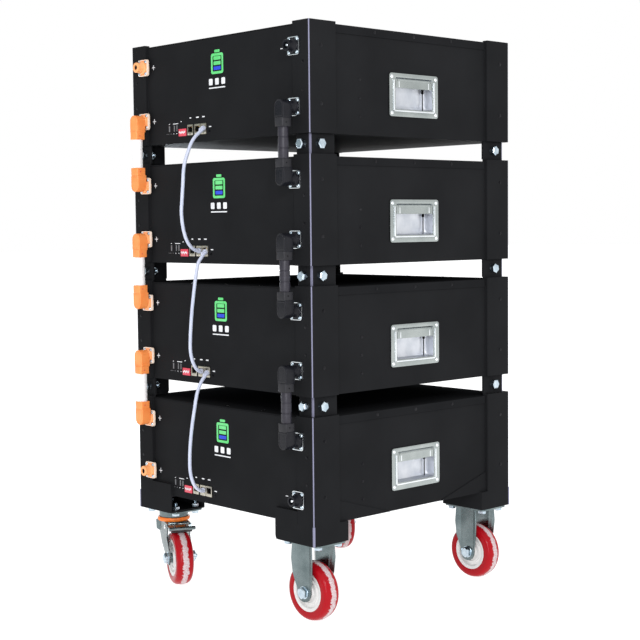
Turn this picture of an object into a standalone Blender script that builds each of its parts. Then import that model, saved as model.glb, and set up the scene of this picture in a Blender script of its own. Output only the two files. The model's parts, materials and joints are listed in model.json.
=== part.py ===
"""Stack of four high-voltage battery modules on four casters.

Lengths below are in millimetres and are turned into metres when a mesh is made.
X runs along the front from left to right, Y from front to rear and Z up from the floor.
Shapes are drawn about the middle of the cases; the last step moves them all to the origin.
"""

import bisect
import math

import bmesh
import bpy
from mathutils import Matrix, Vector

MM = 0.001
CLEAR = 0.3  # gap between pieces that touch
LAP = 1.0  # how far shapes that are joined reach into each other
OVERSHOOT = 5.0  # how far a cutter passes the face that it opens
SHARP_ANGLE = math.radians(35)  # steeper edges than this stay sharp

# Stack
MODULES = 4
CASE_WIDTH = 482.0
CASE_DEPTH = 495.0
CASE_HEIGHT = 180.0
PITCH = 213.0
STACK_HEIGHT = 988.0
GAP = PITCH - CASE_HEIGHT
HALF_WIDTH = CASE_WIDTH / 2
HALF_DEPTH = CASE_DEPTH / 2

# Sheet-metal case
POST_PROUD = 7.0
PANEL_X = HALF_WIDTH - POST_PROUD
PANEL_Y = HALF_DEPTH - POST_PROUD
SHEET = 2.0
POST_FRONT_FLANGE = 41.0
POST_SIDE_FLANGE = 60.5
POST_THICK = 11.0
POST_CHAMFER = 1.5
POST_BEND = 4.0
LID_BELOW_POST = 3.0
LID_SHEET = 2.0
LID_LIP = 14.0
LID_LIP_THICK = 1.5
LID_FRONT_LAP = 0.5
WALL_TOP = CASE_HEIGHT - LID_BELOW_POST - LID_SHEET - CLEAR
LID_SEAT_DEPTH = 20.0
LID_SEAT_INSET = 10.0

# Ties that join one module to the next
TIE_INSET = 8.5
TIE_FRONT_FLANGE = 33.0
TIE_SIDE_FLANGE = 54.0
TIE_THICK = 2.0
TIE_ROOT = 10.0
TIE_END_GAP = 1.0

# Legs of the lowest module
CASTER_HEIGHT = 137.0
LEG_HEIGHT = STACK_HEIGHT - (MODULES - 1) * PITCH - CASE_HEIGHT - CASTER_HEIGHT
LEG_FRONT_FLANGE = 96.0
LEG_SIDE_FLANGE = 78.0
LEG_SHEET = 3.0
LEG_ROUND = 7.0
LEG_RISE = 22.0
LEG_WEB = 1.5
GUSSET_REACH = 184.0
GUSSET_RISE = 37.0
GUSSET_PROUD = 1.5

# Power terminals and the jumpers between them
TERMINAL_FROM_EDGE = {"positive": 40.0, "negative": 33.0}
TERMINAL_DEPTHS = (40.5, 137.5)
TERMINAL_FLANGE_WIDTH = 26.0
TERMINAL_FLANGE_HEIGHT = 28.0
TERMINAL_FLANGE_THICK = 4.0
TERMINAL_CORNER = 3.0
TERMINAL_NECK = 8.0
COLLAR_RADIUS = 11.5
COLLAR_END = 7.5
BOSS_RADIUS = 9.0
BOSS_END = 20.0
SOCKET_RADIUS = 5.6
SOCKET_DEPTH = 13.0
SOCKET_PIN_RADIUS = 2.6
SOCKET_PIN_INSET = 2.0
BUSBAR_WIDTH = 14.0
BUSBAR_THICK = 4.0
BUSBAR_BEHIND = 18.0
JUMPER_OUT = {"positive": 18.5, "negative": 27.5}
PLUG_RADIUS = 10.8
PLUG_BACK = 10.5
PLUG_FRONT = 9.0
NOSE_RADIUS = 5.2
NOSE_BORE_RADIUS = 3.1
NOSE_LENGTH = 10.5
GLAND_HALF = 10.0
GLAND_CORNER = 3.0
GLAND_START = 18.5
GLAND_LENGTH = 14.0
SLEEVE_RADIUS = {"positive": 8.9, "negative": 8.6}

# Communication sockets and cables
JACK_TOP = 148.5
JACK_BOTTOM = 167.5
JACK_SINGLE = (-85.0, -69.0)
JACK_PAIR = (-65.5, -31.0)
COMM_RADIUS = 3.0
COMM_SPACING = 13.0
# Each lead runs from the upper module's socket to the lower one's: (x, out from the posts, down
# from the upper module's top).
COMM_ROUTES = (
    (
        (-41, -15, 157), (-35, -4, 158), (-34, 21, 178), (-36, 33, 204),
        (-38, 39, 226), (-39, 41, 255), (-41, 42, 283), (-43, 42, 306),
        (-44, 37, 335), (-47, 25, 357), (-52, 5, 370), (-57, -15, 371),
    ),
    (
        (-41, -15, 159), (-35, -1, 162), (-34, 14, 178), (-36, 18, 200),
        (-38, 21, 224), (-40, 26, 269), (-42, 28, 311), (-44, 26, 336),
        (-47, 17, 357), (-52, 2, 370), (-57, -15, 371),
    ),
    (
        (-41, -15, 159), (-35, 2, 163), (-35, 18, 186), (-37, 25, 219),
        (-39, 31, 258), (-41, 34, 298), (-43, 32, 332), (-46, 21, 357),
        (-52, 2, 370), (-57, -15, 371),
    ),
)

# Drop handles on both sides
HANDLE_WIDTH = 120.5
HANDLE_HEIGHT = 73.0
HANDLE_DEPTH_BELOW_TOP = 109.0
HANDLE_PLATE = 2.2
HANDLE_CORNER = 6.0
WINDOW_HALF = 45.5
WINDOW_TOP = 79.7
WINDOW_BOTTOM = 133.0
DISH_WALL = 1.5
DISH_DEPTH = 19.5
PIVOT_BELOW_TOP = 84.0
PIVOT_INSET = 1.5
BARREL_RADIUS = 3.9
HINGE_PIN_RADIUS = 1.8
HINGE_HOLE_RADIUS = 2.2
BAIL_BOTTOM = 97.0
BAIL_SHEET = 1.8
BAIL_LIP = 7.0
BAIL_SIDE_GAP = 0.5
BAIL_STEP = 0.4  # each joined shape of the flap is this much narrower or lower than the last

# Cell block inside each case
CELLS = (380.0, 400.0, 100.0)

# Casters
WHEEL_RADIUS = 50.5
WHEEL_HALF = 16.0
WHEEL_BORE = 6.6
AXLE_RADIUS = 6.0
HUB_RADIUS = 34.0
HUB_BOSS_RADIUS = 13.0
HUB_HALF = 15.0
HUB_RECESS = 4.0
TYRE_SHOULDER = 8.0
CASTER_PLATE = (95.0, 66.0, 3.0)
CASTER_PLATE_CORNER = 4.0
CASTER_FROM_SIDE = 48.0
CASTER_FROM_FRONT = 42.0
FORK_INSIDE = 20.0
FORK_SHEET = 2.5
FORK_FLAT = 33.0
WING_ANGLE = math.radians(30)
WING_WIDTH = 12.0
AXLE_HEAD = 6.0
HEAD_RADIUS = 9.0
TRAIL = 40.0
TRAIL_ANGLE = math.radians(-23)
CUP_RADIUS = 27.0
CUP_BOTTOM = 121.5
SEAL_RADIUS = 30.5
SEAL_THICK = 7.0
SEAL_BORE = 8.0
CROWN_TOP = 113.9
CROWN_THICK = 3.5
CROWN_HALF = 25.0
FORK_BACK_REACH = 20.0
FORK_FRONT_REACH = 38.0
FORK_FOOT_RADIUS = 13.5
KINGPIN_RADIUS = 6.0
KINGPIN_NUT_RADIUS = 10.0
KINGPIN_NUT_THICK = 6.0
PEDAL_HINGE_REACH = 33.0
PEDAL_HINGE_HEIGHT = 107.0
PEDAL_PIN_RADIUS = 2.0
PEDAL_ROD_RADIUS = 3.2
PEDAL_HALF_WIDTH = 24.0
PEDAL_END = 63.0
PEDAL_PAD_HALF = 18.0
PEDAL_EDGE_RADIUS = 3.4

PLATE_TOP = CASTER_HEIGHT - CLEAR
PLATE_BOTTOM = PLATE_TOP - CASTER_PLATE[2]
FIXED_X = HALF_WIDTH - CASTER_FROM_SIDE
CASTER_Y = HALF_DEPTH - CASTER_FROM_FRONT

MATERIALS = {
    "case_paint": ((0.03, 0.03, 0.033), 0.6, 0.0),
    "cell_metal": ((0.55, 0.56, 0.58), 0.4, 0.9),
    "handle_zinc": ((0.62, 0.65, 0.64), 0.3, 0.9),
    "positive_plastic": ((1.0, 0.38, 0.08), 0.5, 0.0),
    "negative_plastic": ((0.04, 0.04, 0.045), 0.5, 0.0),
    "cable_jacket": ((0.7, 0.73, 0.8), 0.5, 0.0),
    "wheel_tread": ((0.6, 0.02, 0.03), 0.3, 0.0),
    "caster_zinc": ((0.45, 0.5, 0.5), 0.35, 0.9),
    "seal_plastic": ((1.0, 0.3, 0.03), 0.5, 0.0),
}


def clear_scene():
    for obj in list(bpy.data.objects):
        bpy.data.objects.remove(obj, do_unlink=True)


def make_materials():
    for name, (colour, roughness, metallic) in MATERIALS.items():
        material = bpy.data.materials.new(name)
        material.use_nodes = True
        shader = material.node_tree.nodes["Principled BSDF"]
        shader.inputs["Base Color"].default_value = (*colour, 1.0)
        shader.inputs["Roughness"].default_value = roughness
        shader.inputs["Metallic"].default_value = metallic


def solid_from(bm, name="piece"):
    """Turns a closed bmesh drawn in millimetres into an object."""
    bmesh.ops.recalc_face_normals(bm, faces=bm.faces)
    bmesh.ops.scale(bm, vec=(MM, MM, MM), verts=bm.verts)
    mesh = bpy.data.meshes.new(name)
    bm.to_mesh(mesh)
    bm.free()
    obj = bpy.data.objects.new(name, mesh)
    bpy.context.scene.collection.objects.link(obj)
    return obj


def sheet(outline, origin, along, up, thickness):
    """A flat outline of (along, up) points, thickened to one side along the cross product."""
    along = Vector(along).normalized()
    up = Vector(up).normalized()
    normal = along.cross(up) * thickness
    bm = bmesh.new()
    near = [bm.verts.new(Vector(origin) + along * a + up * b) for a, b in outline]
    far = [bm.verts.new(vert.co + normal) for vert in near]
    bm.faces.new(near)
    bm.faces.new(list(reversed(far)))
    for i, vert in enumerate(near):
        j = (i + 1) % len(near)
        bm.faces.new((vert, near[j], far[j], far[i]))
    return solid_from(bm)


def column(outline, low, high):
    """An outline of (x, y) points standing from height low to height high."""
    return sheet(outline, (0, 0, low), (1, 0, 0), (0, 1, 0), high - low)


def block(low, high):
    corners = [(low[0], low[1]), (high[0], low[1]), (high[0], high[1]), (low[0], high[1])]
    return column(corners, low[2], high[2])


def turned(profile, centre, axis, sides=16):
    """A closed ring or disc: (radius, height along the axis) points turned about the axis."""
    axis = Vector(axis).normalized()
    turn = axis.to_track_quat("Z", "Y").to_matrix()
    bm = bmesh.new()
    rings = []
    for radius, height in profile:
        if radius == 0:
            rings.append([bm.verts.new(Vector(centre) + axis * height)] * sides)
            continue
        ring = []
        for i in range(sides):
            angle = 2 * math.pi * i / sides
            spoke = turn @ Vector((radius * math.cos(angle), radius * math.sin(angle), height))
            ring.append(bm.verts.new(Vector(centre) + spoke))
        rings.append(ring)
    closed = profile[0][0] != 0
    pairs = list(zip(rings, rings[1:]))
    if closed:
        pairs.append((rings[-1], rings[0]))
    for lower, upper in pairs:
        for i in range(sides):
            j = (i + 1) % sides
            corners = [lower[i], lower[j], upper[j], upper[i]]
            bm.faces.new(list(dict.fromkeys(corners)))
    return solid_from(bm)


def rod(start, end, radius, sides=12):
    axis = Vector(end) - Vector(start)
    profile = [(0, 0), (radius, 0), (radius, axis.length), (0, axis.length)]
    return turned(profile, start, axis, sides)


def stepped_rod(centre, axis, sections, sides=12):
    """A rod with pins at both ends; each section is (radius, half length), longest and thinnest first."""
    half = [(0, -sections[0][1])]
    for i, (radius, reach) in enumerate(sections):
        half.append((radius, -reach))
        if i + 1 < len(sections):
            half.append((radius, -sections[i + 1][1]))
    return turned(half + [(r, -h) for r, h in reversed(half)], centre, axis, sides)


def combine(base, join=(), cut=()):
    """Joins and then cuts with exact Booleans, and drops the helper shapes."""
    for operation, others in (("UNION", join), ("DIFFERENCE", cut)):
        for other in others:
            modifier = base.modifiers.new(operation.lower(), "BOOLEAN")
            modifier.operation = operation
            modifier.solver = "EXACT"
            modifier.object = other
    graph = bpy.context.evaluated_depsgraph_get()
    mesh = bpy.data.meshes.new_from_object(base.evaluated_get(graph))
    base.modifiers.clear()
    base.data = mesh
    for other in (*join, *cut):
        bpy.data.objects.remove(other, do_unlink=True)
    return base


def finish(obj, name, material, pivot=(0, 0, 0)):
    """Names a node, gives it its material, smooths its rounds and puts its origin on its joint axis."""
    pivot = Vector(pivot) * MM
    obj.name = name
    obj.data.name = name
    obj.data.transform(Matrix.Translation(-pivot))
    obj.location = pivot
    obj.data.materials.clear()
    obj.data.materials.append(bpy.data.materials[material])
    obj.data.shade_smooth()
    obj.data.set_sharp_from_angle(angle=SHARP_ANGLE)


def module_bottom(number):
    """Height of a module's bottom; module 1 is the top one."""
    return STACK_HEIGHT - (number - 1) * PITCH - CASE_HEIGHT


def module_top(number):
    return module_bottom(number) + CASE_HEIGHT


def corner_outline(points, side, end):
    """Mirrors an outline drawn for the right rear corner to another corner."""
    return [(x * side, y * end) for x, y in points]


CORNERS = [(side, end) for side in (-1, 1) for end in (-1, 1)]


def angle_section(outer_x, outer_y, front_flange, side_flange, thick, chamfer, bend):
    """An L section whose outer corner is at (outer_x, outer_y), folded to the radius bend."""
    folded = []
    for i in range(3):
        turn = math.pi / 2 * (1 - i / 2)
        folded.append(
            (outer_x - bend + bend * math.cos(turn), outer_y - bend + bend * math.sin(turn))
        )
    return [
        (outer_x - front_flange, outer_y - chamfer),
        (outer_x - front_flange + chamfer, outer_y),
        *folded,
        (outer_x, outer_y - side_flange + chamfer),
        (outer_x - chamfer, outer_y - side_flange),
        (outer_x - thick, outer_y - side_flange),
        (outer_x - thick, outer_y - thick),
        (outer_x - front_flange, outer_y - thick),
    ]


def post(side, end, bottom):
    section = angle_section(
        HALF_WIDTH,
        HALF_DEPTH,
        POST_FRONT_FLANGE,
        POST_SIDE_FLANGE,
        POST_THICK,
        POST_CHAMFER,
        POST_BEND,
    )
    return column(corner_outline(section, side, end), bottom, bottom + CASE_HEIGHT)


def tie(side, end, low, high, depth_in):
    """One tongue of a tie: an L standing between two modules, depth_in inside the outer tongue."""
    inset = TIE_INSET + depth_in
    section = angle_section(
        HALF_WIDTH - inset,
        HALF_DEPTH - inset,
        TIE_FRONT_FLANGE - depth_in,
        TIE_SIDE_FLANGE - depth_in,
        TIE_THICK,
        TIE_THICK / 4,
        TIE_THICK,
    )
    return column(corner_outline(section, side, end), low, high)


def corner_block(xs, ys, side, end, low, high):
    """A block at one corner, between two distances from each middle plane."""
    points = [(xs[0], ys[0]), (xs[1], ys[0]), (xs[1], ys[1]), (xs[0], ys[1])]
    return column(corner_outline(points, side, end), low, high)


def leg_face(width, rounding, height):
    """Outline of a leg's front plate: the outer edge at 0, the free edge at width, round below."""
    points = [(0.0, 0.0), (0.0, height), (width, height)]
    steps = 4
    for i in range(steps + 1):
        angle = math.pi / 2 * i / steps
        points.append(
            (width - rounding + rounding * math.cos(angle), rounding - rounding * math.sin(angle))
        )
    return points


def leg(side, end, bottom):
    """A leg box under one corner, closed on three sides and open towards the middle."""
    low = bottom - LEG_HEIGHT
    inner_x = HALF_WIDTH - LEG_FRONT_FLANGE
    inner_y = HALF_DEPTH - LEG_SIDE_FLANGE
    middle_x = HALF_WIDTH - LEG_SHEET / 2
    middle_y = HALF_DEPTH - LEG_SHEET / 2
    front = sheet(
        leg_face(LEG_FRONT_FLANGE, LEG_ROUND, LEG_HEIGHT + LAP),
        (side * HALF_WIDTH, end * HALF_DEPTH, low),
        (-side, 0, 0),
        (0, 0, 1),
        -LEG_SHEET * side * end,
    )
    flank = corner_block(
        (HALF_WIDTH - LEG_SHEET, HALF_WIDTH),
        (inner_y, middle_y),
        side,
        end,
        low,
        bottom + LAP,
    )
    inner = corner_block(
        (inner_x, middle_x), (inner_y, inner_y + LEG_SHEET), side, end, low, bottom + LAP / 2
    )
    over_panel = corner_block(
        (inner_x, HALF_WIDTH - POST_FRONT_FLANGE + LAP),
        (PANEL_Y - LAP, HALF_DEPTH),
        side,
        end,
        bottom - LAP,
        bottom + LEG_RISE,
    )
    span = ((inner_x, middle_x), (inner_y + LEG_SHEET / 2, middle_y))
    foot_plate = corner_block(*span, side, end, low, low + LEG_SHEET)
    web = corner_block(*span, side, end, bottom - LEG_WEB, bottom + LAP / 2)
    return [front, flank, inner, over_panel, foot_plate, web]


def gusset(side, end, bottom):
    """The thin three-cornered wing on the side panel beside a lower post."""
    start = HALF_DEPTH - POST_SIDE_FLANGE + LAP
    far = HALF_DEPTH - GUSSET_REACH
    outline = [(start, 0.0), (far, 0.0), (start, GUSSET_RISE)]
    outline = [(y * end, z) for y, z in outline]
    x = side * (PANEL_X - LAP)
    return sheet(outline, (x, 0, bottom), (0, 1, 0), (0, 0, 1), side * (GUSSET_PROUD + LAP))


def terminal_x(polarity):
    side = -1 if polarity == "positive" else 1
    return side * (HALF_WIDTH - TERMINAL_FROM_EDGE[polarity])


def make_case(number):
    bottom = module_bottom(number)
    top = bottom + CASE_HEIGHT
    wall_top = bottom + WALL_TOP
    tub = block((-PANEL_X, -PANEL_Y, bottom), (PANEL_X, PANEL_Y, wall_top))
    hollow = block(
        (-PANEL_X + SHEET, -PANEL_Y + SHEET, bottom + SHEET),
        (PANEL_X - SHEET, PANEL_Y - SHEET, top + OVERSHOOT),
    )
    combine(tub, cut=[hollow])
    join = []
    for side, end in CORNERS:
        join.append(post(side, end, bottom))
        if number > 1:
            join.append(tie(side, end, top - TIE_ROOT, top + GAP - CLEAR, 0.0))
        if number < MODULES:
            inner = TIE_THICK + CLEAR
            join.append(tie(side, end, bottom - GAP + TIE_END_GAP, bottom + LAP, inner))
        if number == MODULES:
            join += leg(side, end, bottom)
            join.append(gusset(side, end, bottom))
    seat_x = HALF_WIDTH - POST_FRONT_FLANGE - LID_SEAT_INSET
    for end in (-1, 1):
        edges = sorted((end * (PANEL_Y - LID_SEAT_DEPTH), end * (PANEL_Y - SHEET / 2)))
        join.append(block((-seat_x, edges[0], wall_top - SHEET), (seat_x, edges[1], wall_top)))
    cut = []
    half_neck = TERMINAL_NECK / 2 + CLEAR
    for polarity in ("positive", "negative"):
        x = terminal_x(polarity)
        for depth in TERMINAL_DEPTHS:
            z = top - depth
            cut.append(
                block(
                    (x - half_neck, -HALF_DEPTH - OVERSHOOT, z - half_neck),
                    (x + half_neck, -HALF_DEPTH + POST_THICK + OVERSHOOT, z + half_neck),
                )
            )
    for left, right in (JACK_SINGLE, JACK_PAIR):
        cut.append(
            block(
                (left, -PANEL_Y - OVERSHOOT, top - JACK_BOTTOM),
                (right, -PANEL_Y + OVERSHOOT, top - JACK_TOP),
            )
        )
    dish_half = WINDOW_HALF + DISH_WALL + CLEAR
    for side in (-1, 1):
        edges = sorted((side * (PANEL_X - OVERSHOOT), side * (PANEL_X + OVERSHOOT)))
        cut.append(
            block(
                (edges[0], -dish_half, top - WINDOW_BOTTOM - DISH_WALL - CLEAR),
                (edges[1], dish_half, top - WINDOW_TOP + DISH_WALL + CLEAR),
            )
        )
    combine(tub, join=join, cut=cut)
    finish(tub, f"module_{number}_case", "case_paint")


def make_lid(number):
    top = module_top(number) - LID_BELOW_POST
    low = top - LID_SHEET
    notch_x = HALF_WIDTH - POST_THICK - CLEAR
    notch_y = HALF_DEPTH - POST_THICK - CLEAR
    front_half = HALF_WIDTH - TIE_INSET - TIE_FRONT_FLANGE - CLEAR
    side_half = HALF_DEPTH - TIE_INSET - TIE_SIDE_FLANGE - CLEAR
    lip_x = PANEL_X + CLEAR + LID_LIP_THICK
    lip_y = PANEL_Y + LID_FRONT_LAP
    plate = block((-notch_x, -notch_y, low), (notch_x, notch_y, top))
    join = [
        block((-front_half, -lip_y, low), (front_half, lip_y, top)),
        block((-lip_x, -side_half, low), (lip_x, side_half, top)),
    ]
    for side in (-1, 1):
        edges = sorted((side * (PANEL_X + CLEAR), side * lip_x))
        join.append(block((edges[0], -side_half, top - LID_LIP), (edges[1], side_half, top)))
    finish(combine(plate, join=join), f"module_{number}_lid", "case_paint")


def make_cells(number):
    low = module_bottom(number) + SHEET + CLEAR
    half_x, half_y = CELLS[0] / 2, CELLS[1] / 2
    cells = block((-half_x, -half_y, low), (half_x, half_y, low + CELLS[2]))
    finish(cells, f"module_{number}_cells", "cell_metal")


def chamfered_square(half_u, half_v, chamfer):
    return [
        (-half_u + chamfer, -half_v),
        (half_u - chamfer, -half_v),
        (half_u, -half_v + chamfer),
        (half_u, half_v - chamfer),
        (half_u - chamfer, half_v),
        (-half_u + chamfer, half_v),
        (-half_u, half_v - chamfer),
        (-half_u, -half_v + chamfer),
    ]


def boss(x, front, z):
    """A socket's boss on its collar, turned in one piece with the socket and the pin inside."""
    start = TERMINAL_FLANGE_THICK / 2
    floor = BOSS_END - SOCKET_DEPTH
    profile = [
        (0, start),
        (COLLAR_RADIUS, start),
        (COLLAR_RADIUS, COLLAR_END),
        (BOSS_RADIUS, COLLAR_END),
        (BOSS_RADIUS, BOSS_END),
        (SOCKET_RADIUS, BOSS_END),
        (SOCKET_RADIUS, floor),
        (SOCKET_PIN_RADIUS, floor),
        (SOCKET_PIN_RADIUS, BOSS_END - SOCKET_PIN_INSET),
        (0, BOSS_END - SOCKET_PIN_INSET),
    ]
    return turned(profile, (x, front, z), (0, -1, 0), 12)


def make_terminals(number, polarity):
    """Both sockets of one polarity and the busbar that joins them behind the panel."""
    top = module_top(number)
    x = terminal_x(polarity)
    front = -HALF_DEPTH
    upper, lower = [top - depth for depth in TERMINAL_DEPTHS]
    half_wide = TERMINAL_FLANGE_WIDTH / 2
    half_high = TERMINAL_FLANGE_HEIGHT / 2
    neck = TERMINAL_NECK / 2
    bar_front = front + BUSBAR_BEHIND
    bar_half = BUSBAR_WIDTH / 2
    body = block(
        (x - bar_half, bar_front, lower - bar_half),
        (x + bar_half, bar_front + BUSBAR_THICK, upper + bar_half),
    )
    join = []
    for z in (upper, lower):
        join.append(
            sheet(
                chamfered_square(half_wide, half_high, TERMINAL_CORNER),
                (x, front - CLEAR, z),
                (1, 0, 0),
                (0, 0, 1),
                TERMINAL_FLANGE_THICK,
            )
        )
        join.append(
            block(
                (x - neck, front - CLEAR - LAP / 2, z - neck),
                (x + neck, bar_front + LAP, z + neck),
            )
        )
        join.append(boss(x, front, z))
    combine(body, join=join)
    finish(body, f"module_{number}_{polarity}_terminals", f"{polarity}_plastic")


def plug_outline(towards):
    """A plug seen from the front: round at the far end, straight to the gland."""
    steps = 6
    points = []
    for i in range(steps + 1):
        angle = math.pi * i / steps
        points.append((PLUG_RADIUS * math.cos(angle), -towards * PLUG_RADIUS * math.sin(angle)))
    points.append((-PLUG_RADIUS, towards * (GLAND_START + LAP)))
    points.append((PLUG_RADIUS, towards * (GLAND_START + LAP)))
    return points


def make_jumper(number, polarity):
    """A short power lead from one module's lower terminal to the next one's upper terminal.

    Each plug is a cap over the socket's boss, with a hollow nose round the pin inside.
    """
    x = terminal_x(polarity)
    front = -HALF_DEPTH
    upper = module_top(number) - TERMINAL_DEPTHS[1]
    lower = module_top(number + 1) - TERMINAL_DEPTHS[0]
    axis_y = front - JUMPER_OUT[polarity]
    sleeve_start = GLAND_START + GLAND_LENGTH - LAP
    lead = rod(
        (x, axis_y, lower + sleeve_start),
        (x, axis_y, upper - sleeve_start),
        SLEEVE_RADIUS[polarity],
    )
    gland = chamfered_square(GLAND_HALF, GLAND_HALF, GLAND_CORNER)
    gland = [(x + a, axis_y + b) for a, b in gland]
    plug_back = axis_y + PLUG_BACK
    cap_floor = front - BOSS_END - CLEAR
    nose_end = cap_floor + NOSE_LENGTH
    join = []
    caps = []
    noses = []
    bores = []
    for z, towards in ((upper, -1), (lower, 1)):
        depth = PLUG_BACK + PLUG_FRONT
        join.append(sheet(plug_outline(towards), (x, plug_back, z), (1, 0, 0), (0, 0, 1), depth))
        ends = sorted((z + towards * GLAND_START, z + towards * (GLAND_START + GLAND_LENGTH)))
        join.append(column(gland, *ends))
        caps.append(rod((x, cap_floor, z), (x, plug_back + OVERSHOOT, z), BOSS_RADIUS + CLEAR))
        noses.append(rod((x, cap_floor - 2 * LAP, z), (x, nose_end, z), NOSE_RADIUS, 10))
        bores.append(
            rod((x, cap_floor + LAP, z), (x, nose_end + OVERSHOOT, z), NOSE_BORE_RADIUS, 10)
        )
    combine(lead, join=join, cut=caps)
    combine(lead, join=noses, cut=bores)
    finish(lead, f"{polarity}_jumper_{number}", f"{polarity}_plastic")


def smooth_route(points, spacing):
    """Evenly spaced points on a smooth curve through the given ones."""
    points = [Vector(point) for point in points]
    ends = [2 * points[0] - points[1], *points, 2 * points[-1] - points[-2]]
    fine = []
    steps = 24
    for before, start, end, after in zip(ends, ends[1:], ends[2:], ends[3:]):
        for i in range(steps):
            t = i / steps
            fine.append(
                0.5
                * (
                    2 * start
                    + (end - before) * t
                    + (2 * before - 5 * start + 4 * end - after) * t**2
                    + (3 * start - before - 3 * end + after) * t**3
                )
            )
    fine.append(points[-1])
    lengths = [0.0]
    for start, end in zip(fine, fine[1:]):
        lengths.append(lengths[-1] + (end - start).length)
    count = round(lengths[-1] / spacing)
    route = []
    for i in range(count + 1):
        target = lengths[-1] * i / count
        j = bisect.bisect_right(lengths, target) - 1
        j = min(j, len(fine) - 2)
        share = (target - lengths[j]) / (lengths[j + 1] - lengths[j])
        route.append(fine[j].lerp(fine[j + 1], share))
    return route


def make_comm_cable(number):
    top = module_top(number)
    points = [(x, -HALF_DEPTH - out, top - down) for x, out, down in COMM_ROUTES[number - 1]]
    route = smooth_route(points, COMM_SPACING)
    curve = bpy.data.curves.new(f"comm_cable_{number}", "CURVE")
    curve.dimensions = "3D"
    curve.bevel_depth = COMM_RADIUS * MM
    curve.bevel_resolution = 2
    curve.use_fill_caps = True
    spline = curve.splines.new("POLY")
    spline.points.add(len(route) - 1)
    for point, place in zip(spline.points, route):
        point.co = (*(place * MM), 1.0)
    obj = bpy.data.objects.new(f"comm_cable_{number}", curve)
    bpy.context.scene.collection.objects.link(obj)
    curve.materials.append(bpy.data.materials["cable_jacket"])


def make_handle(number, side):
    """A dished frame let into the side panel and the flap hinged in it."""
    top = module_top(number)
    word = "right" if side > 0 else "left"
    face = PANEL_X + CLEAR + HANDLE_PLATE
    middle = top - HANDLE_DEPTH_BELOW_TOP
    frame = sheet(
        chamfered_square(HANDLE_WIDTH / 2, HANDLE_HEIGHT / 2, HANDLE_CORNER),
        (side * (PANEL_X + CLEAR), 0, middle),
        (0, 1, 0),
        (0, 0, 1),
        side * HANDLE_PLATE,
    )
    outer = WINDOW_HALF + DISH_WALL
    deep = face - DISH_DEPTH
    edges = sorted((side * (deep - DISH_WALL), side * (face - HANDLE_PLATE / 2)))
    dish = block(
        (edges[0], -outer, top - WINDOW_BOTTOM - DISH_WALL),
        (edges[1], outer, top - WINDOW_TOP + DISH_WALL),
    )
    edges = sorted((side * deep, side * (face + OVERSHOOT)))
    window = block(
        (edges[0], -WINDOW_HALF, top - WINDOW_BOTTOM),
        (edges[1], WINDOW_HALF, top - WINDOW_TOP),
    )
    pivot = Vector((side * (PANEL_X - PIVOT_INSET), 0, top - PIVOT_BELOW_TOP))
    reach = Vector((0, outer + OVERSHOOT, 0))
    pin_hole = rod(pivot - reach, pivot + reach, HINGE_HOLE_RADIUS, 10)
    combine(frame, join=[dish], cut=[window, pin_hole])
    finish(frame, f"module_{number}_handle_{word}_frame", "handle_zinc")

    half = WINDOW_HALF - BAIL_SIDE_GAP
    flap_face = face - CLEAR
    pin_half = outer - CLEAR
    sections = [(HINGE_PIN_RADIUS, pin_half), (BARREL_RADIUS, half)]
    barrel = stepped_rod(pivot, (0, 1, 0), sections)
    edges = sorted((side * (flap_face - BAIL_SHEET), side * flap_face))
    flap_half = half - BAIL_STEP
    flap_low = top - BAIL_BOTTOM
    flap = block((edges[0], -flap_half, flap_low), (edges[1], flap_half, pivot.z + LAP / 2))
    edges = sorted((side * (flap_face - BAIL_LIP), side * (flap_face - BAIL_SHEET / 2)))
    lip_half = flap_half - BAIL_SHEET
    lip_low = flap_low + BAIL_STEP
    lip = block((edges[0], -lip_half, lip_low), (edges[1], lip_half, lip_low + BAIL_SHEET))
    combine(barrel, join=[flap, lip])
    finish(barrel, f"module_{number}_handle_{word}_bail", "handle_zinc", pivot)


def wheel_profile():
    recess = HUB_HALF - HUB_RECESS
    half = [
        (WHEEL_BORE, HUB_HALF),
        (HUB_BOSS_RADIUS, HUB_HALF),
        (HUB_BOSS_RADIUS + HUB_RECESS / 2, recess),
        (HUB_RADIUS - HUB_RECESS, recess),
        (HUB_RADIUS, HUB_HALF),
        (WHEEL_RADIUS - TYRE_SHOULDER, WHEEL_HALF),
        (WHEEL_RADIUS - TYRE_SHOULDER / 4, WHEEL_HALF - TYRE_SHOULDER / 2),
        (WHEEL_RADIUS, WHEEL_HALF / 4),
    ]
    return half + [(radius, -height) for radius, height in reversed(half)]


def make_wheel(name, centre, axle):
    wheel = turned(wheel_profile(), centre, axle, 24)
    finish(wheel, name, "wheel_tread", centre)


def fork_leg(outline, centre, roll, axle, hand):
    """One flat fork leg; hand is the side of the wheel it stands on."""
    origin = Vector(centre) + Vector(axle) * hand * FORK_INSIDE
    normal = Vector(roll).cross(Vector((0, 0, 1)))
    turn = 1 if normal.dot(Vector(axle) * hand) > 0 else -1
    return sheet(outline, origin, roll, (0, 0, 1), turn * FORK_SHEET)


def fork_wing(outline, start, centre, roll, axle, hand, away):
    """A fork leg's edge bent outwards at reach start: (distance from the bend, height) points."""
    lean = Vector(roll) * away * math.cos(WING_ANGLE) + Vector(axle) * hand * math.sin(WING_ANGLE)
    origin = Vector(centre) + Vector(roll) * start + Vector(axle) * hand * FORK_INSIDE
    normal = lean.cross(Vector((0, 0, 1)))
    turn = 1 if normal.dot(Vector(axle) * hand) > 0 else -1
    return sheet(outline, origin, lean, (0, 0, 1), turn * FORK_SHEET)


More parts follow.
